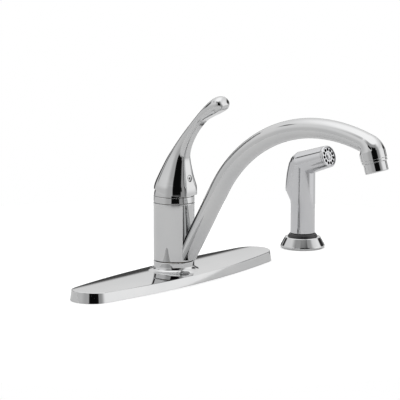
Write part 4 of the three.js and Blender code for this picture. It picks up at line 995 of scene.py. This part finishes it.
# --- lever
@dataclass
class Lever:
    """The hooded lever: a bell over the dome that draws out into a swan-necked blade."""

    chrome: Skin
    pivot: float = 79.3
    hollow: float = 19.2
    facet_distance: float = 18.4
    rim_height: float = 84.5
    rim_slope: float = 0.2
    plug_rise: float = 18.0
    plug_radius: float = 3.0
    plug_length: float = 2.3
    socket_radius: float = 1.3
    steps: int = 8
    facet_steps: int = 8
    arc_steps: int = 80
    facet_round: float = 0.5
    # [y, z above the pivot, lean in degrees, half width, half depth, facet half width]
    sections: Sequence[Sequence[float]] = (
        (-1.6, 2.0, 0, 20.4, 20.3, 6.9), (-1.6, 6.0, 0, 20.3, 20.2, 6.6),
        (-1.6, 10.0, 0, 19.8, 19.7, 6.0), (-1.9, 14.0, 2, 18.5, 18.4, 5.1),
        (-2.7, 19.0, 5, 16.6, 16.6, 4.2), (-3.7, 24.0, 8, 14.8, 14.8, 3.6),
        (-6.0, 34.5, 14, 11.3, 11.1, 3.0), (-8.8, 42.2, 22, 9.1, 8.5, 2.6),
        (-13.1, 50.4, 32, 7.7, 6.8, 3.0), (-18.9, 59.2, 38, 6.9, 5.6, 3.6),
        (-25.4, 67.4, 42, 6.5, 5.0, 4.1), (-33.5, 76.0, 47, 7.0, 5.1, 4.7),
        (-40.4, 81.3, 52, 8.1, 6.2, 5.3), (-46.6, 85.4, 56, 9.2, 7.3, 5.9),
        (-51.6, 88.6, 59, 9.7, 7.7, 6.1), (-55.0, 90.6, 61, 9.4, 7.5, 5.8),
        (-57.4, 92.0, 62, 8.6, 6.6, 5.0), (-59.0, 92.9, 62, 7.0, 5.4, 4.0),
        (-59.9, 93.4, 62, 4.6, 3.8, 2.6), (-60.2, 93.55, 62, 1.6, 1.4, 0.9),
    )

    def section(self, shape: Shape, row: Sequence[float]) -> list[Vert]:
        """Adds one flat section of the blade: an oval whose front is cut flat.

        Args:
            shape: The shape that gets it.
            row: The section's place and size, as in sections.

        Returns:
            Its corners, in order.
        """
        y, rise, lean, half_width, half_depth, half_facet = row
        facet = half_facet / half_width
        corner = math.asin(facet)
        flat = -half_depth * math.cos(corner)
        count = self.arc_steps
        turns = [corner + (FULL_TURN - 2 * corner) * i / count for i in range(count + 1)]
        points = [(half_width * math.sin(t), -half_depth * math.cos(t)) for t in turns]
        step = 2 * facet * half_width / self.facet_steps
        points += [(-facet * half_width + step * i, flat) for i in range(1, self.facet_steps)]
        angle = math.radians(lean)
        foot = self.pivot + rise
        return [shape.bm.verts.new((x, y + depth * math.cos(angle), foot + depth * math.sin(angle)))
                for x, depth in points]

    def facet_edges(self, rows: Sequence[list[Vert]]) -> list[Edge]:
        """Finds the two long edges beside the flat front, from the hood to the tip.

        Args:
            rows: The corners of each section.

        Returns:
            The edges.
        """
        edges = []
        for near, far in zip(rows, rows[1:-2 * self.steps]):
            for i in (0, self.arc_steps):
                edges += [e for e in near[i].link_edges if e.other_vert(near[i]) is far[i]]
        return edges

    def build(self) -> list[Piece]:
        """Builds the lever and its plug.

        Returns:
            The two pieces.
        """
        shape = Shape()
        rows = [self.section(shape, row) for row in smooth_path(self.sections, self.steps)]
        shape.bridge([shape.edge_loop(row) for row in rows])
        shape.soften(self.facet_edges(rows), self.facet_round, 4)
        shape.slice((0, 0, self.rim_height), (0, -self.rim_slope, 1))
        shape.cut(Shape.ball(self.hollow, (0, 0, self.pivot), 128))
        facet, plug_z = self.facet_distance, self.pivot + self.plug_rise
        pocket = Shape.bar(self.plug_radius + FIT, facet - self.plug_length - 0.1, facet + 4,
                           segments=48)
        shape.cut(pocket.turn("X", 90).move(z=plug_z))
        plug = Shape.bar(self.plug_radius, facet - self.plug_length, facet, 0.7, 48)
        plug.cut(Shape.hexagon(self.socket_radius, facet - 1, facet + OVERCUT, 0.0))
        plug.turn("X", 90).move(z=plug_z)
        return [shape.finish("lever_blade", Body.HANDLE, self.chrome, "handle_lever", crease=12),
                plug.finish("lever_plug", Body.HANDLE, self.chrome, "handle_plug")]


# --- holder
@dataclass
class Holder:
    """The flared holder of the hand spray, its black bushing and what clamps it."""

    chrome: Skin
    black: Skin
    rubber: Skin
    foot_radius: float = 21.4
    radius: float = 22.1
    radius_height: float = 2.4
    rim_radius: float = 17.4
    height: float = 10.9
    shank_radius: float = 14.0
    shank_depth: float = 40.0
    bore: float = 11.6
    seat_height: float = 4.0
    bushing_radius: float = 14.6
    bushing_bore: float = 10.0
    bushing_rim: float = 12.9
    bushing_top: float = 14.2
    thread_pitch: float = 1.8
    thread_top: float = -3.0
    washer_radius: float = 21.0
    washer_height: float = 2.0
    nut_radius: float = 20.0
    nut_height: float = 10.0

    def build(self) -> list[Piece]:
        """Builds the holder, the bushing, the washer and the nut.

        Returns:
            The pieces.
        """
        seat = self.bushing_radius + FIT
        threads = threaded(self.shank_radius, -self.shank_depth, self.thread_top,
                           self.thread_pitch)
        cup = Shape.turned([
            (self.bore, -self.shank_depth), *threads, (self.shank_radius, 0),
            (self.foot_radius, 0), (self.radius, self.radius_height / 2),
            (self.radius, self.radius_height), (self.rim_radius, self.height),
            (seat, self.height), (seat, self.seat_height), (self.bore, self.seat_height)],
            segments=144)
        for corner, size in (((self.rim_radius, self.height), 0.7),
                             ((self.radius, self.radius_height), 0.7),
                             ((self.radius, self.radius_height / 2), 0.4),
                             ((self.foot_radius, 0), 0.3)):
            cup.round_ring(corner, size, 4)
        foot = self.seat_height + FIT
        shoulder = (self.bushing_radius, self.height + (self.bushing_top - self.height) / 3)
        rim = (self.bushing_rim, self.bushing_top)
        bushing = Shape.turned([
            (self.bushing_bore, foot), (self.bushing_radius, foot), shoulder, rim,
            (self.bushing_bore, self.bushing_top)], segments=128)
        bushing.round_ring(shoulder, 1.3, 6)
        bushing.round_ring(rim, 0.5, 4)
        hole, top = self.shank_radius + FIT, CLAMP_HEIGHT
        washer = Shape.ring(self.washer_radius, hole, top - self.washer_height, top, 0.5)
        nut_top = top - self.washer_height - FIT
        nut = Shape.hexagon(self.nut_radius, nut_top - self.nut_height, nut_top, 1.4)
        nut.cut(Shape.bar(hole, nut_top - self.nut_height - OVERCUT, top, segments=64))
        return [shape.move(x=SPRAY_X).finish(name, Body.FAUCET, skin, node)
                for shape, name, skin, node in (
                    (cup, "holder_cup", self.chrome, "spray_holder"),
                    (bushing, "holder_insert", self.black, "holder_bushing"),
                    (washer, "holder_gasket", self.rubber, "holder_washer"),
                    (nut, "holder_backnut", self.black, "holder_nut"))]


def threaded(radius: float, foot: float, top: float, pitch: float) -> list[Point]:
    """A profile of thread crests and roots, from its foot to its top.

    Args:
        radius: Radius over the crests.
        foot: Height where it starts.
        top: Height where it ends.
        pitch: Distance between two crests.

    Returns:
        Points (radius, height).
    """
    depth = 0.45 * pitch
    count = int((top - foot) / pitch)
    points = [(radius - depth, foot)]
    for i in range(count):
        crest = foot + (i + 0.5) * pitch
        points += [(radius, crest - pitch / 10), (radius, crest + pitch / 10),
                   (radius - depth, crest + pitch / 2)]
    points.append((radius, foot + count * pitch + depth))
    return points


# --- hand spray
@dataclass
class HandSpray:
    """The hand spray: grip, head, face with its jets, and the trigger on its back."""

    chrome: Skin
    # the finish of painted shade inside the jets
    hollow: Skin
    brass: Skin
    steel: Skin
    grip_radius: float = 12.2
    grip_foot: float = 14.5
    nose_radius: float = 9.6
    nose_depth: float = 20.0
    head_z: float = 83.6
    head_tilt: float = 18.5
    head_reach: float = 33.4
    head_radius: float = 10.9
    face_radius: float = 9.4
    face_depth: float = 2.4
    face_sink: float = 0.6
    jet_floor: float = 0.5
    jets: int = 11
    jet_radius: float = 1.65
    jet_circle: float = 6.9
    button_radius: float = 3.6
    button_dome: float = 5.6
    button_sink: float = 0.2
    water_radius: float = 8.6
    water_depth: float = 14.0
    sunk: float = 0.03
    elbow_angle: float = 14.0
    elbow_round: float = 2.4
    trigger_half: float = 7.2
    trigger_foot: float = 55.4
    trigger_top: float = 91.0
    trigger_travel: float = 6.0
    foot_room: float = 1.8
    proud: float = 0.4
    thickness: float = 3.0
    gap: float = 0.5
    web_half: float = 3.6
    web_foot: float = 81.0
    eye_radius: float = 3.6
    pin_radius: float = 1.5
    pin_half: float = 8.5
    coupling_radius: float = 7.2
    coupling_length: float = 12.0
    coupling_bore: float = 3.6
    behind: float = 25.0
    pin: Point = (4.8, 85.5)
    hump_steps: int = 3
    # [y of its back, height, plan radius]
    hump: Sequence[Sequence[float]] = (
        (12.0, 43.0, 11), (12.9, 46.9, 11), (14.9, 50.4, 11), (16.2, 52.8, 11), (17.3, 54.6, 11),
        (18.1, 57.5, 11), (18.1, 61.0, 11), (17.6, 66.5, 11), (16.6, 74.1, 11), (14.4, 83.0, 11),
        (13.0, 86.0, 10.6), (11.5, 89.0, 9.6), (9.6, 91.4, 8.2), (6.6, 94.0, 5.5), (5.2, 95.0, 4),
    )

    def on_head(self, shape: Shape) -> Shape:
        """Places a shape built upwards from the grip's axis on the head's axis."""
        return shape.turn("X", 90 - self.head_tilt).move(SPRAY_X, 0, self.head_z)

    def side_plate(self, outline: Sequence[Point], half: float) -> Shape:
        """A flat outline with a thickness across X.

        Args:
            outline: Its points (y, z).
            half: Half the thickness.

        Returns:
            The closed shape.
        """
        shape = Shape()
        corners = [shape.bm.verts.new((-half, y, z)) for y, z in outline]
        face = shape.bm.faces.new(corners)
        made = bmesh.ops.extrude_face_region(shape.bm, geom=[face])["geom"]
        top = [g for g in made if isinstance(g, Vert)]
        bmesh.ops.translate(shape.bm, verts=top, vec=(2 * half, 0, 0))
        return shape.weld()

    @property
    def travel(self) -> float:
        """The trigger's travel as an angle."""
        return math.radians(self.trigger_travel)

    def hump_shape(self, growth: float) -> Shape:
        """The hump on the grip's back, grown by a distance.

        Args:
            growth: How far its sides stand out of the hump itself.

        Returns:
            The closed shape, about the grip's axis.
        """
        shape = Shape()
        loops = []
        for back, z, radius in smooth_path(self.hump, self.hump_steps):
            place = Matrix.Translation((0, back - radius, z))
            rim = set(bmesh.ops.create_circle(shape.bm, segments=96, radius=radius + growth,
                                              matrix=place)["verts"])
            loops.append([e for e in shape.bm.edges if rim.issuperset(e.verts)])
        return shape.bridge(loops).weld()

    def back_at(self, z: float) -> float:
        """Where the hump's back lies.

        Args:
            z: The height.

        Returns:
            Its y at that height.
        """
        rows = smooth_path(self.hump, self.hump_steps)
        low, high = next(pair for pair in zip(rows, rows[1:]) if pair[1][1] >= z)
        return low[0] + (high[0] - low[0]) * (z - low[1]) / (high[1] - low[1])

    def trigger_front(self) -> list[Point]:
        """The front of the trigger, from its foot to its top.

        Returns:
            Points (y, z).
        """
        between = [row[1] for row in smooth_path(self.hump, self.hump_steps)
                   if self.trigger_foot + 0.5 < row[1] < self.trigger_top - 0.5]
        heights = [self.trigger_foot, *between, self.trigger_top]
        return [(self.back_at(z) + self.proud - self.thickness, z) for z in heights]

    def elbow_edges(self, grip: Shape) -> list[Edge]:
        """Finds the sharp edges in the inner corner between the grip and the head.

        Args:
            grip: The grip with the head on it.

        Returns:
            The edges.
        """
        low, high = (-20, self.head_z - 20), (-1, self.head_z + 6)
        return [e for e in grip.bm.edges if len(e.link_faces) == 2
                and e.calc_face_angle() > math.radians(self.elbow_angle)
                and all(low[0] < v.co.y < high[0] and low[1] < v.co.z < high[1]
                        for v in e.verts)]

    def round_elbow(self, grip: Shape) -> None:
        """Rounds the inner corner between the grip and the head.

        Args:
            grip: The grip with the head on it.
        """
        corners = list({v for e in self.elbow_edges(grip) for v in e.verts})
        bmesh.ops.remove_doubles(grip.bm, verts=corners, dist=0.1)
        grip.soften(self.elbow_edges(grip), self.elbow_round, 5)

    def build_body(self) -> Piece:
        """Builds the grip and the head in one piece, with the trigger's recess.

        Returns:
            The piece.
        """
        end = self.head_reach - self.face_depth - FIT
        nose_foot = self.grip_foot - self.nose_depth
        shoulder = arc_points((0, self.head_z), self.grip_radius, 0, 90, 32)
        grip = Shape.turned([
            (0, nose_foot), (self.nose_radius, nose_foot), (self.nose_radius, self.grip_foot),
            (self.grip_radius, self.grip_foot), *shoulder], {3: 0.8}, 128)
        grip.move(x=SPRAY_X)
        back = arc_points((0, 0), self.grip_radius - self.sunk, -90, 0, 32)
        head = Shape.turned([*back, (self.head_radius, end), (0, end)], segments=128)
        grip.unite(self.on_head(head))
        self.round_elbow(grip)
        grip.unite(self.hump_shape(0.0).move(x=SPRAY_X))
        floor = [(y - self.gap - max(0.0, self.pin[1] - z) * math.tan(self.travel), z)
                 for y, z in self.trigger_front()]
        foot, top = self.trigger_foot - self.foot_room, self.trigger_top + self.gap
        outline = [(floor[0][0], foot), *floor, (floor[-1][0], top), (self.behind, top),
                   (self.behind, foot)]
        grip.cut(self.side_plate(outline, self.trigger_half + self.gap).move(x=SPRAY_X))
        slot = self.web_half + FIT
        grip.cut(Shape.block((SPRAY_X - slot, self.pin[0] - self.eye_radius - FIT, self.web_foot),
                             (SPRAY_X + slot, self.behind, top)))
        water = Shape.bar(self.water_radius, end - self.water_depth, end + OVERCUT, segments=48)
        grip.cut(self.on_head(water))
        return grip.finish("spray_shell", Body.SPRAY, self.chrome, "spray_body")

    def build_face(self) -> list[Piece]:
        """Builds the face: its plate with jets, the rim ring and the domed centre.

        Returns:
            The pieces.
        """
        foot, top = self.head_reach - self.face_depth, self.head_reach
        floor, above = foot + self.jet_floor, top + OVERCUT
        plate = Shape.bar(self.face_radius - FIT, foot, top - self.face_sink, 0.3, 96)
        jets = Shape()
        for i in range(self.jets):
            a = FULL_TURN * (i + 0.5) / self.jets
            jet = Shape.bar(self.jet_radius, floor, above, segments=20)
            jets.beside(jet.move(self.jet_circle * math.cos(a), self.jet_circle * math.sin(a)))
        plate.cut(jets)
        plate.cut(Shape.bar(self.button_radius + FIT, floor, above, segments=48))
        face = self.on_head(plate).finish("spray_jets", Body.SPRAY, self.chrome, "spray_face")
        self.paint_jet_shade(face)
        bore = self.face_radius + FIT
        rim = Shape.turned([
            (bore, foot), (self.head_radius, foot), (self.head_radius, top), (bore, top)],
            {2: 0.9}, 128)
        button = Shape.turned([
            (0, foot + self.face_sink), (self.button_radius, foot + self.face_sink),
            (self.button_radius, top - self.button_sink),
            *arc_points((0, top + 1 - self.button_dome), self.button_dome, 50, 90, 8)],
            segments=64)
        pieces = [face]
        for shape, name, node in ((rim, "spray_rim", "spray_face_ring"),
                                  (button, "spray_boss", "spray_face_button")):
            pieces.append(self.on_head(shape).finish(name, Body.SPRAY, self.chrome, node))
        return pieces

    def paint_jet_shade(self, piece: Piece) -> None:
        """Paints shade on the floors and walls of the jets: a near-black finish where a deep hole
        lies in shadow.

        Args:
            piece: The face's plate.
        """
        # painted shade: the jets' walls and floors get the near-black finish
        piece.data.materials.append(self.hollow.material)
        tilt = math.radians(self.head_tilt)
        axis = Vector((0, -math.cos(tilt), math.sin(tilt)))
        start = Vector((SPRAY_X, 0, self.head_z)) * MM
        face = (self.head_reach - self.face_sink - 0.2) * MM
        for polygon in piece.data.polygons:
            reach = polygon.center - start
            depth = reach.dot(axis)
            off = (reach - axis * depth).length / MM
            inside = abs(off - self.jet_circle) < self.jet_radius + 0.01
            if inside and depth < face and off < self.face_radius - 1:
                polygon.material_index = 1

    def build_trigger(self) -> Piece:
        """Builds the trigger: a paddle curved both ways, with the eye of its pin.

        Returns:
            The piece.
        """
        outline = [*self.trigger_front(), (self.behind, self.trigger_top),
                   (self.behind, self.trigger_foot)]
        paddle = self.side_plate(outline, self.trigger_half)
        paddle.keep(self.hump_shape(self.proud))
        pin_y, pin_z = self.pin
        radius, half = self.eye_radius, self.web_half
        web = Shape.block((-half, pin_y, pin_z - radius + FIT),
                          (half, self.back_at(pin_z + radius) - self.proud, pin_z + radius - FIT))
        web.unite(Shape.bar(radius, -half, half, segments=32).turn("Y", 90).move(0, *self.pin))
        paddle.unite(web)
        hole = Shape.bar(self.pin_radius + FIT, -12, 12, segments=24)
        paddle.cut(hole.turn("Y", 90).move(0, *self.pin))
        return paddle.move(x=SPRAY_X).finish("trigger_paddle", Body.TRIGGER, self.chrome,
                                             "spray_trigger")

    def build(self) -> list[Piece]:
        """Builds the whole hand spray.

        Returns:
            The pieces.
        """
        top = self.grip_foot - self.nose_depth - FIT
        foot, half = top - self.coupling_length, self.pin_half
        coupling = Shape.hexagon(self.coupling_radius, foot, top, 0.8)
        coupling.cut(Shape.bar(self.coupling_bore, foot - OVERCUT, top + OVERCUT, segments=32))
        pin = Shape.bar(self.pin_radius, -half, half, 0.3, 24).turn("Y", 90).move(0, *self.pin)
        joint, rod = (
            shape.move(x=SPRAY_X).finish(name, Body.SPRAY, skin, node)
            for shape, name, skin, node in (
                (coupling, "spray_coupling", self.brass, "hose_coupling"),
                (pin, "trigger_axle", self.steel, "trigger_pin")))
        return [self.build_body(), *self.build_face(), self.build_trigger(), joint, rod]


# --- under the deck
@dataclass
class Underside:
    """Studs, washers, wing nuts, the supply lines and the hose's outlet below the deck."""

    steel: Skin
    black: Skin
    brass: Skin
    copper: Skin
    stud_radius: float = 4.8
    stud_foot: float = -52.0
    stud_top: float = 5.7
    stud_thread: float = 2.0
    stud_pitch: float = 1.6
    washer_radius: float = 16.0
    washer: float = 2.0
    nut_radius: float = 11.0
    nut_height: float = 8.0
    wing_half: float = 2.0
    supply_radius: float = 4.76
    supply_offset: float = 9.2
    supply_top: float = -24.3
    supply_drop: float = 33.7
    supply_bend: float = 40.0
    supply_turn: float = 20.0
    supply_slant: float = 40.0
    supply_tail: float = 30.0
    end_half: float = 12.0
    end_nut: float = 8.0
    end_radius: float = 10.4
    end_nut_radius: float = 13.0
    end_bore: float = 3.9
    end_pitch: float = 1.8
    outlet_radius: float = 6.5
    outlet_bore: float = 3.86
    outlet_foot: float = -52.0
    outlet_thread: float = -43.0
    outlet_neck: float = -41.0
    outlet_pitch: float = 1.4

    def build_clamp(self, side: str, sign: int) -> list[Piece]:
        """Builds one stud with its washer and wing nut.

        Args:
            side: left or right.
            sign: -1 for left, 1 for right.

        Returns:
            The pieces.
        """
        profile = [(0, self.stud_foot),
                   *threaded(self.stud_radius, self.stud_foot, self.stud_thread, self.stud_pitch),
                   (self.stud_radius, self.stud_top), (0, self.stud_top)]
        stud = Shape.turned(profile, segments=48)
        bore, top = self.stud_radius + FIT, CLAMP_HEIGHT - self.washer
        washer = Shape.ring(self.washer_radius, bore, top, CLAMP_HEIGHT, 0.4)
        top -= FIT
        foot = top - self.nut_height
        nut = Shape.turned([
            (bore, foot), (self.nut_radius - 2, foot), (self.nut_radius, top - 2),
            (self.nut_radius, top), (bore, top)], {1: 0.8, 2: 0.8, 3: 0.3}, 64)
        for wing in (-1, 1):
            low, high = sorted((wing * (bore + 1), wing * 2 * self.nut_radius))
            nut.unite(Shape.block((low, -self.wing_half, foot), (high, self.wing_half, top), 1.2))
        pieces = []
        for shape, name, skin, node, crease in (
                (stud, "threaded_stud", self.steel, "plate_stud", THREAD_CREASE),
                (washer, "washer", self.steel, "stud_washer", CREASE),
                (nut, "wing_nut", self.black, "stud_wing_nut", CREASE)):
            pieces.append(shape.move(x=sign * HOLE_PITCH).finish(
                f"{name}_{side}", Body.FAUCET, skin, f"{node}_{side}", crease=crease))
        return pieces

    def build_supply(self, side: str, sign: int) -> list[Piece]:
        """Builds one supply line: a bent copper tube and its threaded end.

        Args:
            side: cold or hot.
            sign: 1 for cold, -1 for hot.

        Returns:
            The pieces.
        """
        tube = Shape.bent(self.supply_radius, (0.0, self.supply_top), 180, [
            Leg(length=self.supply_drop, steps=2),
            Leg(radius=self.supply_bend, turn=-self.supply_turn, steps=12),
            Leg(length=self.supply_slant, steps=2),
            Leg(radius=self.supply_bend, turn=self.supply_turn, steps=12),
            Leg(length=self.supply_tail, steps=2),
        ], segments=48)
        end = tube.end
        top, foot = end.z + self.end_half, end.z - self.end_half
        nut_foot = top - self.end_nut
        nut = Shape.hexagon(self.end_nut_radius, nut_foot, top, 0.9)
        threads = threaded(self.end_radius, foot, nut_foot - 0.8, self.end_pitch)
        nut.unite(Shape.turned([(0, foot), *threads, (0, nut_foot)], segments=64))
        nut.cut(Shape.bar(self.end_bore, foot - OVERCUT, top + OVERCUT, segments=32))
        seat = Shape.bar(self.supply_radius + FIT, end.z - FIT, top + OVERCUT, segments=32)
        nut.cut(seat).move(y=end.y)
        pieces = []
        for shape, name, skin, node in (
                (tube, "supply_line", self.copper, "supply_tube"),
                (nut, "supply_end", self.brass, "supply_adapter")):
            shape.turn("Z", 90 * sign).move(x=sign * self.supply_offset)
            pieces.append(shape.finish(f"{name}_{side}", Body.FAUCET, skin, f"{node}_{side}",
                                       crease=THREAD_CREASE))
        return pieces

    def build(self) -> list[Piece]:
        """Builds everything below the deck that is seen from there.

        Returns:
            The pieces.
        """
        pieces = []
        for side, sign in (("left", -1), ("right", 1)):
            pieces += self.build_clamp(side, sign)
        for side, sign in (("cold", 1), ("hot", -1)):
            pieces += self.build_supply(side, sign)
        threads = threaded(self.outlet_radius, self.outlet_foot, self.outlet_thread,
                           self.outlet_pitch)
        outlet = Shape.turned([
            (self.outlet_bore, self.outlet_foot), *threads,
            (self.supply_radius, self.outlet_neck), (self.supply_radius, self.supply_top),
            (self.outlet_bore, self.supply_top)], segments=48)
        pieces.append(outlet.move(y=self.supply_offset).finish(
            "spray_outlet", Body.FAUCET, self.brass, "spray_hose_outlet",
            crease=THREAD_CREASE))
        return pieces


# --- studio
@dataclass(frozen=True)
class Panel:
    """A soft-edged panel of the studio, seen only as light and as a reflection.

    Angles are in degrees: azimuth from the camera's side of the object, to its right, and
    height above the horizon. The light inside the panel is its value.
    """

    azimuth: float
    half_width: float
    side_soft: float
    height: float
    half_height: float
    edge_soft: float
    value: float


def panel_group() -> Tree:
    """Builds the shared group that lays one panel over the light so far.

    Returns:
        A group with the inputs Azimuth, Height and Light, and one for each field of a panel.
    """
    tree = bpy.data.node_groups.new("studio panel", "ShaderNodeTree")
    names = ["Azimuth", "Height", "Light", *Panel.__dataclass_fields__]
    for name in names:
        tree.interface.new_socket(name=name, in_out="INPUT", socket_type="NodeSocketFloat")
    tree.interface.new_socket(name="Light", in_out="OUTPUT", socket_type="NodeSocketFloat")
    sums = Sums(tree)
    given = dict(zip(names, tree.nodes.new("NodeGroupInput").outputs))
    off = sums.add("ABSOLUTE", sums.add("SUBTRACT", given["Azimuth"], given["azimuth"]))
    off = sums.add("MINIMUM", off, sums.add("SUBTRACT", 360.0, off))
    rise = sums.add("ABSOLUTE", sums.add("SUBTRACT", given["Height"], given["height"]))
    inside = None
    for value, half, soft in ((off, "half_width", "side_soft"), (rise, "half_height", "edge_soft")):
        ramp = sums.ramp(value, sums.add("ADD", given[half], given[soft]), given[half])
        inside = ramp if inside is None else sums.add("MULTIPLY", inside, ramp)
    change = sums.add("SUBTRACT", given["value"], given["Light"])
    result = sums.add("MULTIPLY_ADD", change, inside, given["Light"])
    tree.links.new(result, tree.nodes.new("NodeGroupOutput").inputs[0])
    return tree


@dataclass
class Studio:
    """Camera, white table and paper, and the room's light with its panels."""

    camera_place: Sequence[float] = (-2.00333, -1.61241, 0.52530)
    yaw: float = 51.709
    pitch: float = 9.931
    lens: float = 252.1
    panels: Sequence[Panel] = (
        # a bright wing to the right
        Panel(90.0, 12.0, 26.0, 12.0, 14.0, 14.0, 1.3),
        # dark strips behind the object
        Panel(158.0, 9.0, 8.0, 0.0, 7.0, 2.0, 0.3),
        Panel(-172.0, 28.0, 8.0, 0.0, 7.0, 2.0, 0.07),
        Panel(-134.0, 8.0, 8.0, 17.0, 4.0, 4.0, 0.03),
        Panel(130.0, 12.0, 6.0, 14.0, 6.0, 6.0, 0.04),
        Panel(-106.0, 4.0, 5.0, 34.5, 1.2, 2.5, 0.12),
        # grey veils to the right and the left of the dark front
        Panel(36.0, 8.0, 26.0, 8.0, 30.0, 16.0, 0.42),
        Panel(-24.0, 8.0, 30.0, 4.0, 20.0, 12.0, 0.58),
        # a shade above it
        Panel(-6.0, 40.0, 44.0, 48.0, 6.0, 9.0, 0.46),
        # its dark wing over the left, the dark front, and a dark strip to its right
        Panel(-34.0, 13.0, 6.0, 38.0, 3.0, 2.5, 0.01),
        Panel(7.5, 20.0, 5.0, 18.0, 25.0, 6.0, 0.005),
        Panel(31.0, 3.5, 2.5, 14.0, 12.0, 4.0, 0.01),
    )
    table_radius: float = 0.43
    table_depth: float = 0.0002
    table_value: float = 0.75
    table_glow: float = 0.06
    table_lift: float = 0.4
    paper_radius: float = 6.0
    paper_depth: float = 0.0012
    # the room's light at the horizon, above it and overhead, and where it changes, in degrees
    low_value: float = 0.76
    middle_value: float = 1.0
    high_value: float = 1.5
    first_rise: tuple[float, float] = (0.0, 25.0)
    second_rise: tuple[float, float] = (28.0, 66.0)

    def build_camera(self) -> None:
        """Places the camera at the photograph's viewing angle."""
        data = bpy.data.cameras.new("camera")
        data.lens = self.lens
        data.sensor_width = 36.0
        data.clip_end = 50.0
        camera = bpy.data.objects.new("camera", data)
        camera.location = self.camera_place
        camera.rotation_euler = (math.radians(90 - self.pitch), 0, math.radians(-self.yaw))
        bpy.context.scene.collection.objects.link(camera)
        bpy.context.scene.camera = camera

    def lay_disc(self, name: str, radius: float, depth: float, value: float) -> Piece:
        """Lays a round matt sheet under the object; its shape is made in metres.

        Args:
            name: The sheet's name.
            radius: Its radius in metres.
            depth: How far it lies below the deck's top, in metres.
            value: Its grey.

        Returns:
            The sheet, with a material that glows white as strongly as its socket says.
        """
        shape = Shape()
        bmesh.ops.create_circle(shape.bm, cap_ends=True, segments=128, radius=radius)
        sheet = bpy.data.objects.new(name, shape.move(z=-depth).mesh(name))
        material = bpy.data.materials.new(f"white {name}")
        material.use_nodes = True
        shader = material.node_tree.nodes["Principled BSDF"]
        shader.inputs["Base Color"].default_value = (value, value, value, 1)
        shader.inputs["Roughness"].default_value = 1.0
        shader.inputs["Specular IOR Level"].default_value = 0.0
        shader.inputs["Emission Color"].default_value = (1, 1, 1, 1)
        sheet.data.materials.append(material)
        bpy.context.scene.collection.objects.link(sheet)
        return sheet

    def build_table(self) -> None:
        """Lays the round white table that the deck plate stands on."""
        floor = self.lay_disc("floor", self.table_radius, self.table_depth, self.table_value)
        tree = floor.data.materials[0].node_tree
        seen = tree.nodes.new("ShaderNodeLightPath").outputs["Is Camera Ray"]
        lift = Sums(tree).add("MULTIPLY_ADD", seen, self.table_lift, self.table_glow)
        tree.links.new(lift, tree.nodes["Principled BSDF"].inputs["Emission Strength"])

    def build_backdrop(self) -> None:
        """Lays the white paper round the table, which only the camera sees."""
        paper = self.lay_disc("paper", self.paper_radius, self.paper_depth, 0.0)
        shader = paper.data.materials[0].node_tree.nodes["Principled BSDF"]
        shader.inputs["Emission Strength"].default_value = 1.0
        paper.visible_glossy = paper.visible_diffuse = False
        paper.visible_transmission = paper.visible_shadow = False

    def build_room(self) -> None:
        """Builds the room's light: a pale gradient with panels, and white for the camera."""
        world = bpy.data.worlds.new("studio")
        bpy.context.scene.world = world
        world.use_nodes = True
        tree = world.node_tree
        nodes, links = tree.nodes, tree.links
        sums = Sums(tree)
        split = nodes.new("ShaderNodeSeparateXYZ")
        links.new(nodes.new("ShaderNodeTexCoord").outputs["Generated"], split.inputs[0])
        x, y, z = split.outputs
        height = sums.add("MULTIPLY", sums.add("ARCSINE", z), 180 / math.pi)
        yaw = math.radians(self.yaw)
        across = sums.add("ADD", sums.add("MULTIPLY", x, math.cos(yaw)),
                          sums.add("MULTIPLY", y, -math.sin(yaw)))
        towards = sums.add("ADD", sums.add("MULTIPLY", x, -math.sin(yaw)),
                           sums.add("MULTIPLY", y, -math.cos(yaw)))
        azimuth = sums.add("MULTIPLY", sums.add("ARCTAN2", across, towards), 180 / math.pi)
        light = sums.add("ADD", sums.ramp(height, *self.first_rise, self.low_value,
                                          self.middle_value),
                         sums.ramp(height, *self.second_rise, 0,
                                   self.high_value - self.middle_value))
        group = panel_group()
        for panel in self.panels:
            node = nodes.new("ShaderNodeGroup")
            node.node_tree = group
            for name, value in vars(panel).items():
                node.inputs[name].default_value = value
            for name, value in (("Azimuth", azimuth), ("Height", height), ("Light", light)):
                links.new(value, node.inputs[name])
            light = node.outputs["Light"]
        seen = nodes.new("ShaderNodeLightPath").outputs["Is Camera Ray"]
        light = sums.add("MULTIPLY_ADD", sums.add("SUBTRACT", 1.0, light), seen, light)
        background = nodes["Background"]
        links.new(light, background.inputs["Strength"])
        background.inputs["Color"].default_value = (1, 1, 1, 1)

    def build(self) -> None:
        """Builds the studio and sets the view."""
        self.build_camera()
        self.build_table()
        self.build_backdrop()
        self.build_room()
        bpy.context.scene.view_settings.view_transform = "Standard"


def main() -> None:
    """Builds the studio and every sub-assembly in order."""
    logging.basicConfig(level=logging.INFO, format="%(name)s: %(message)s")
    Studio().build()
    skins = build_finishes()
    dress_nodes(skins)
    chrome, black = skins["polished chrome"], skins["black moulding"]
    steel, brass = skins["zinc plated steel"], skins["machined brass"]
    for assembly in (
            DeckPlate(chrome),
            ColumnTop(chrome),
            Spout(chrome, black),
            Diverter(black),
            Lever(chrome),
            Holder(chrome, black, skins["black rubber"]),
            HandSpray(skins["chromed plastic"], skins["painted jet shade"], brass, steel),
            Underside(steel, black, brass, skins["drawn copper"])):
        for piece in assembly.build():
            log.info("%s: %d faces", piece.name, len(piece.data.polygons))


if __name__ == "__main__":
    main()
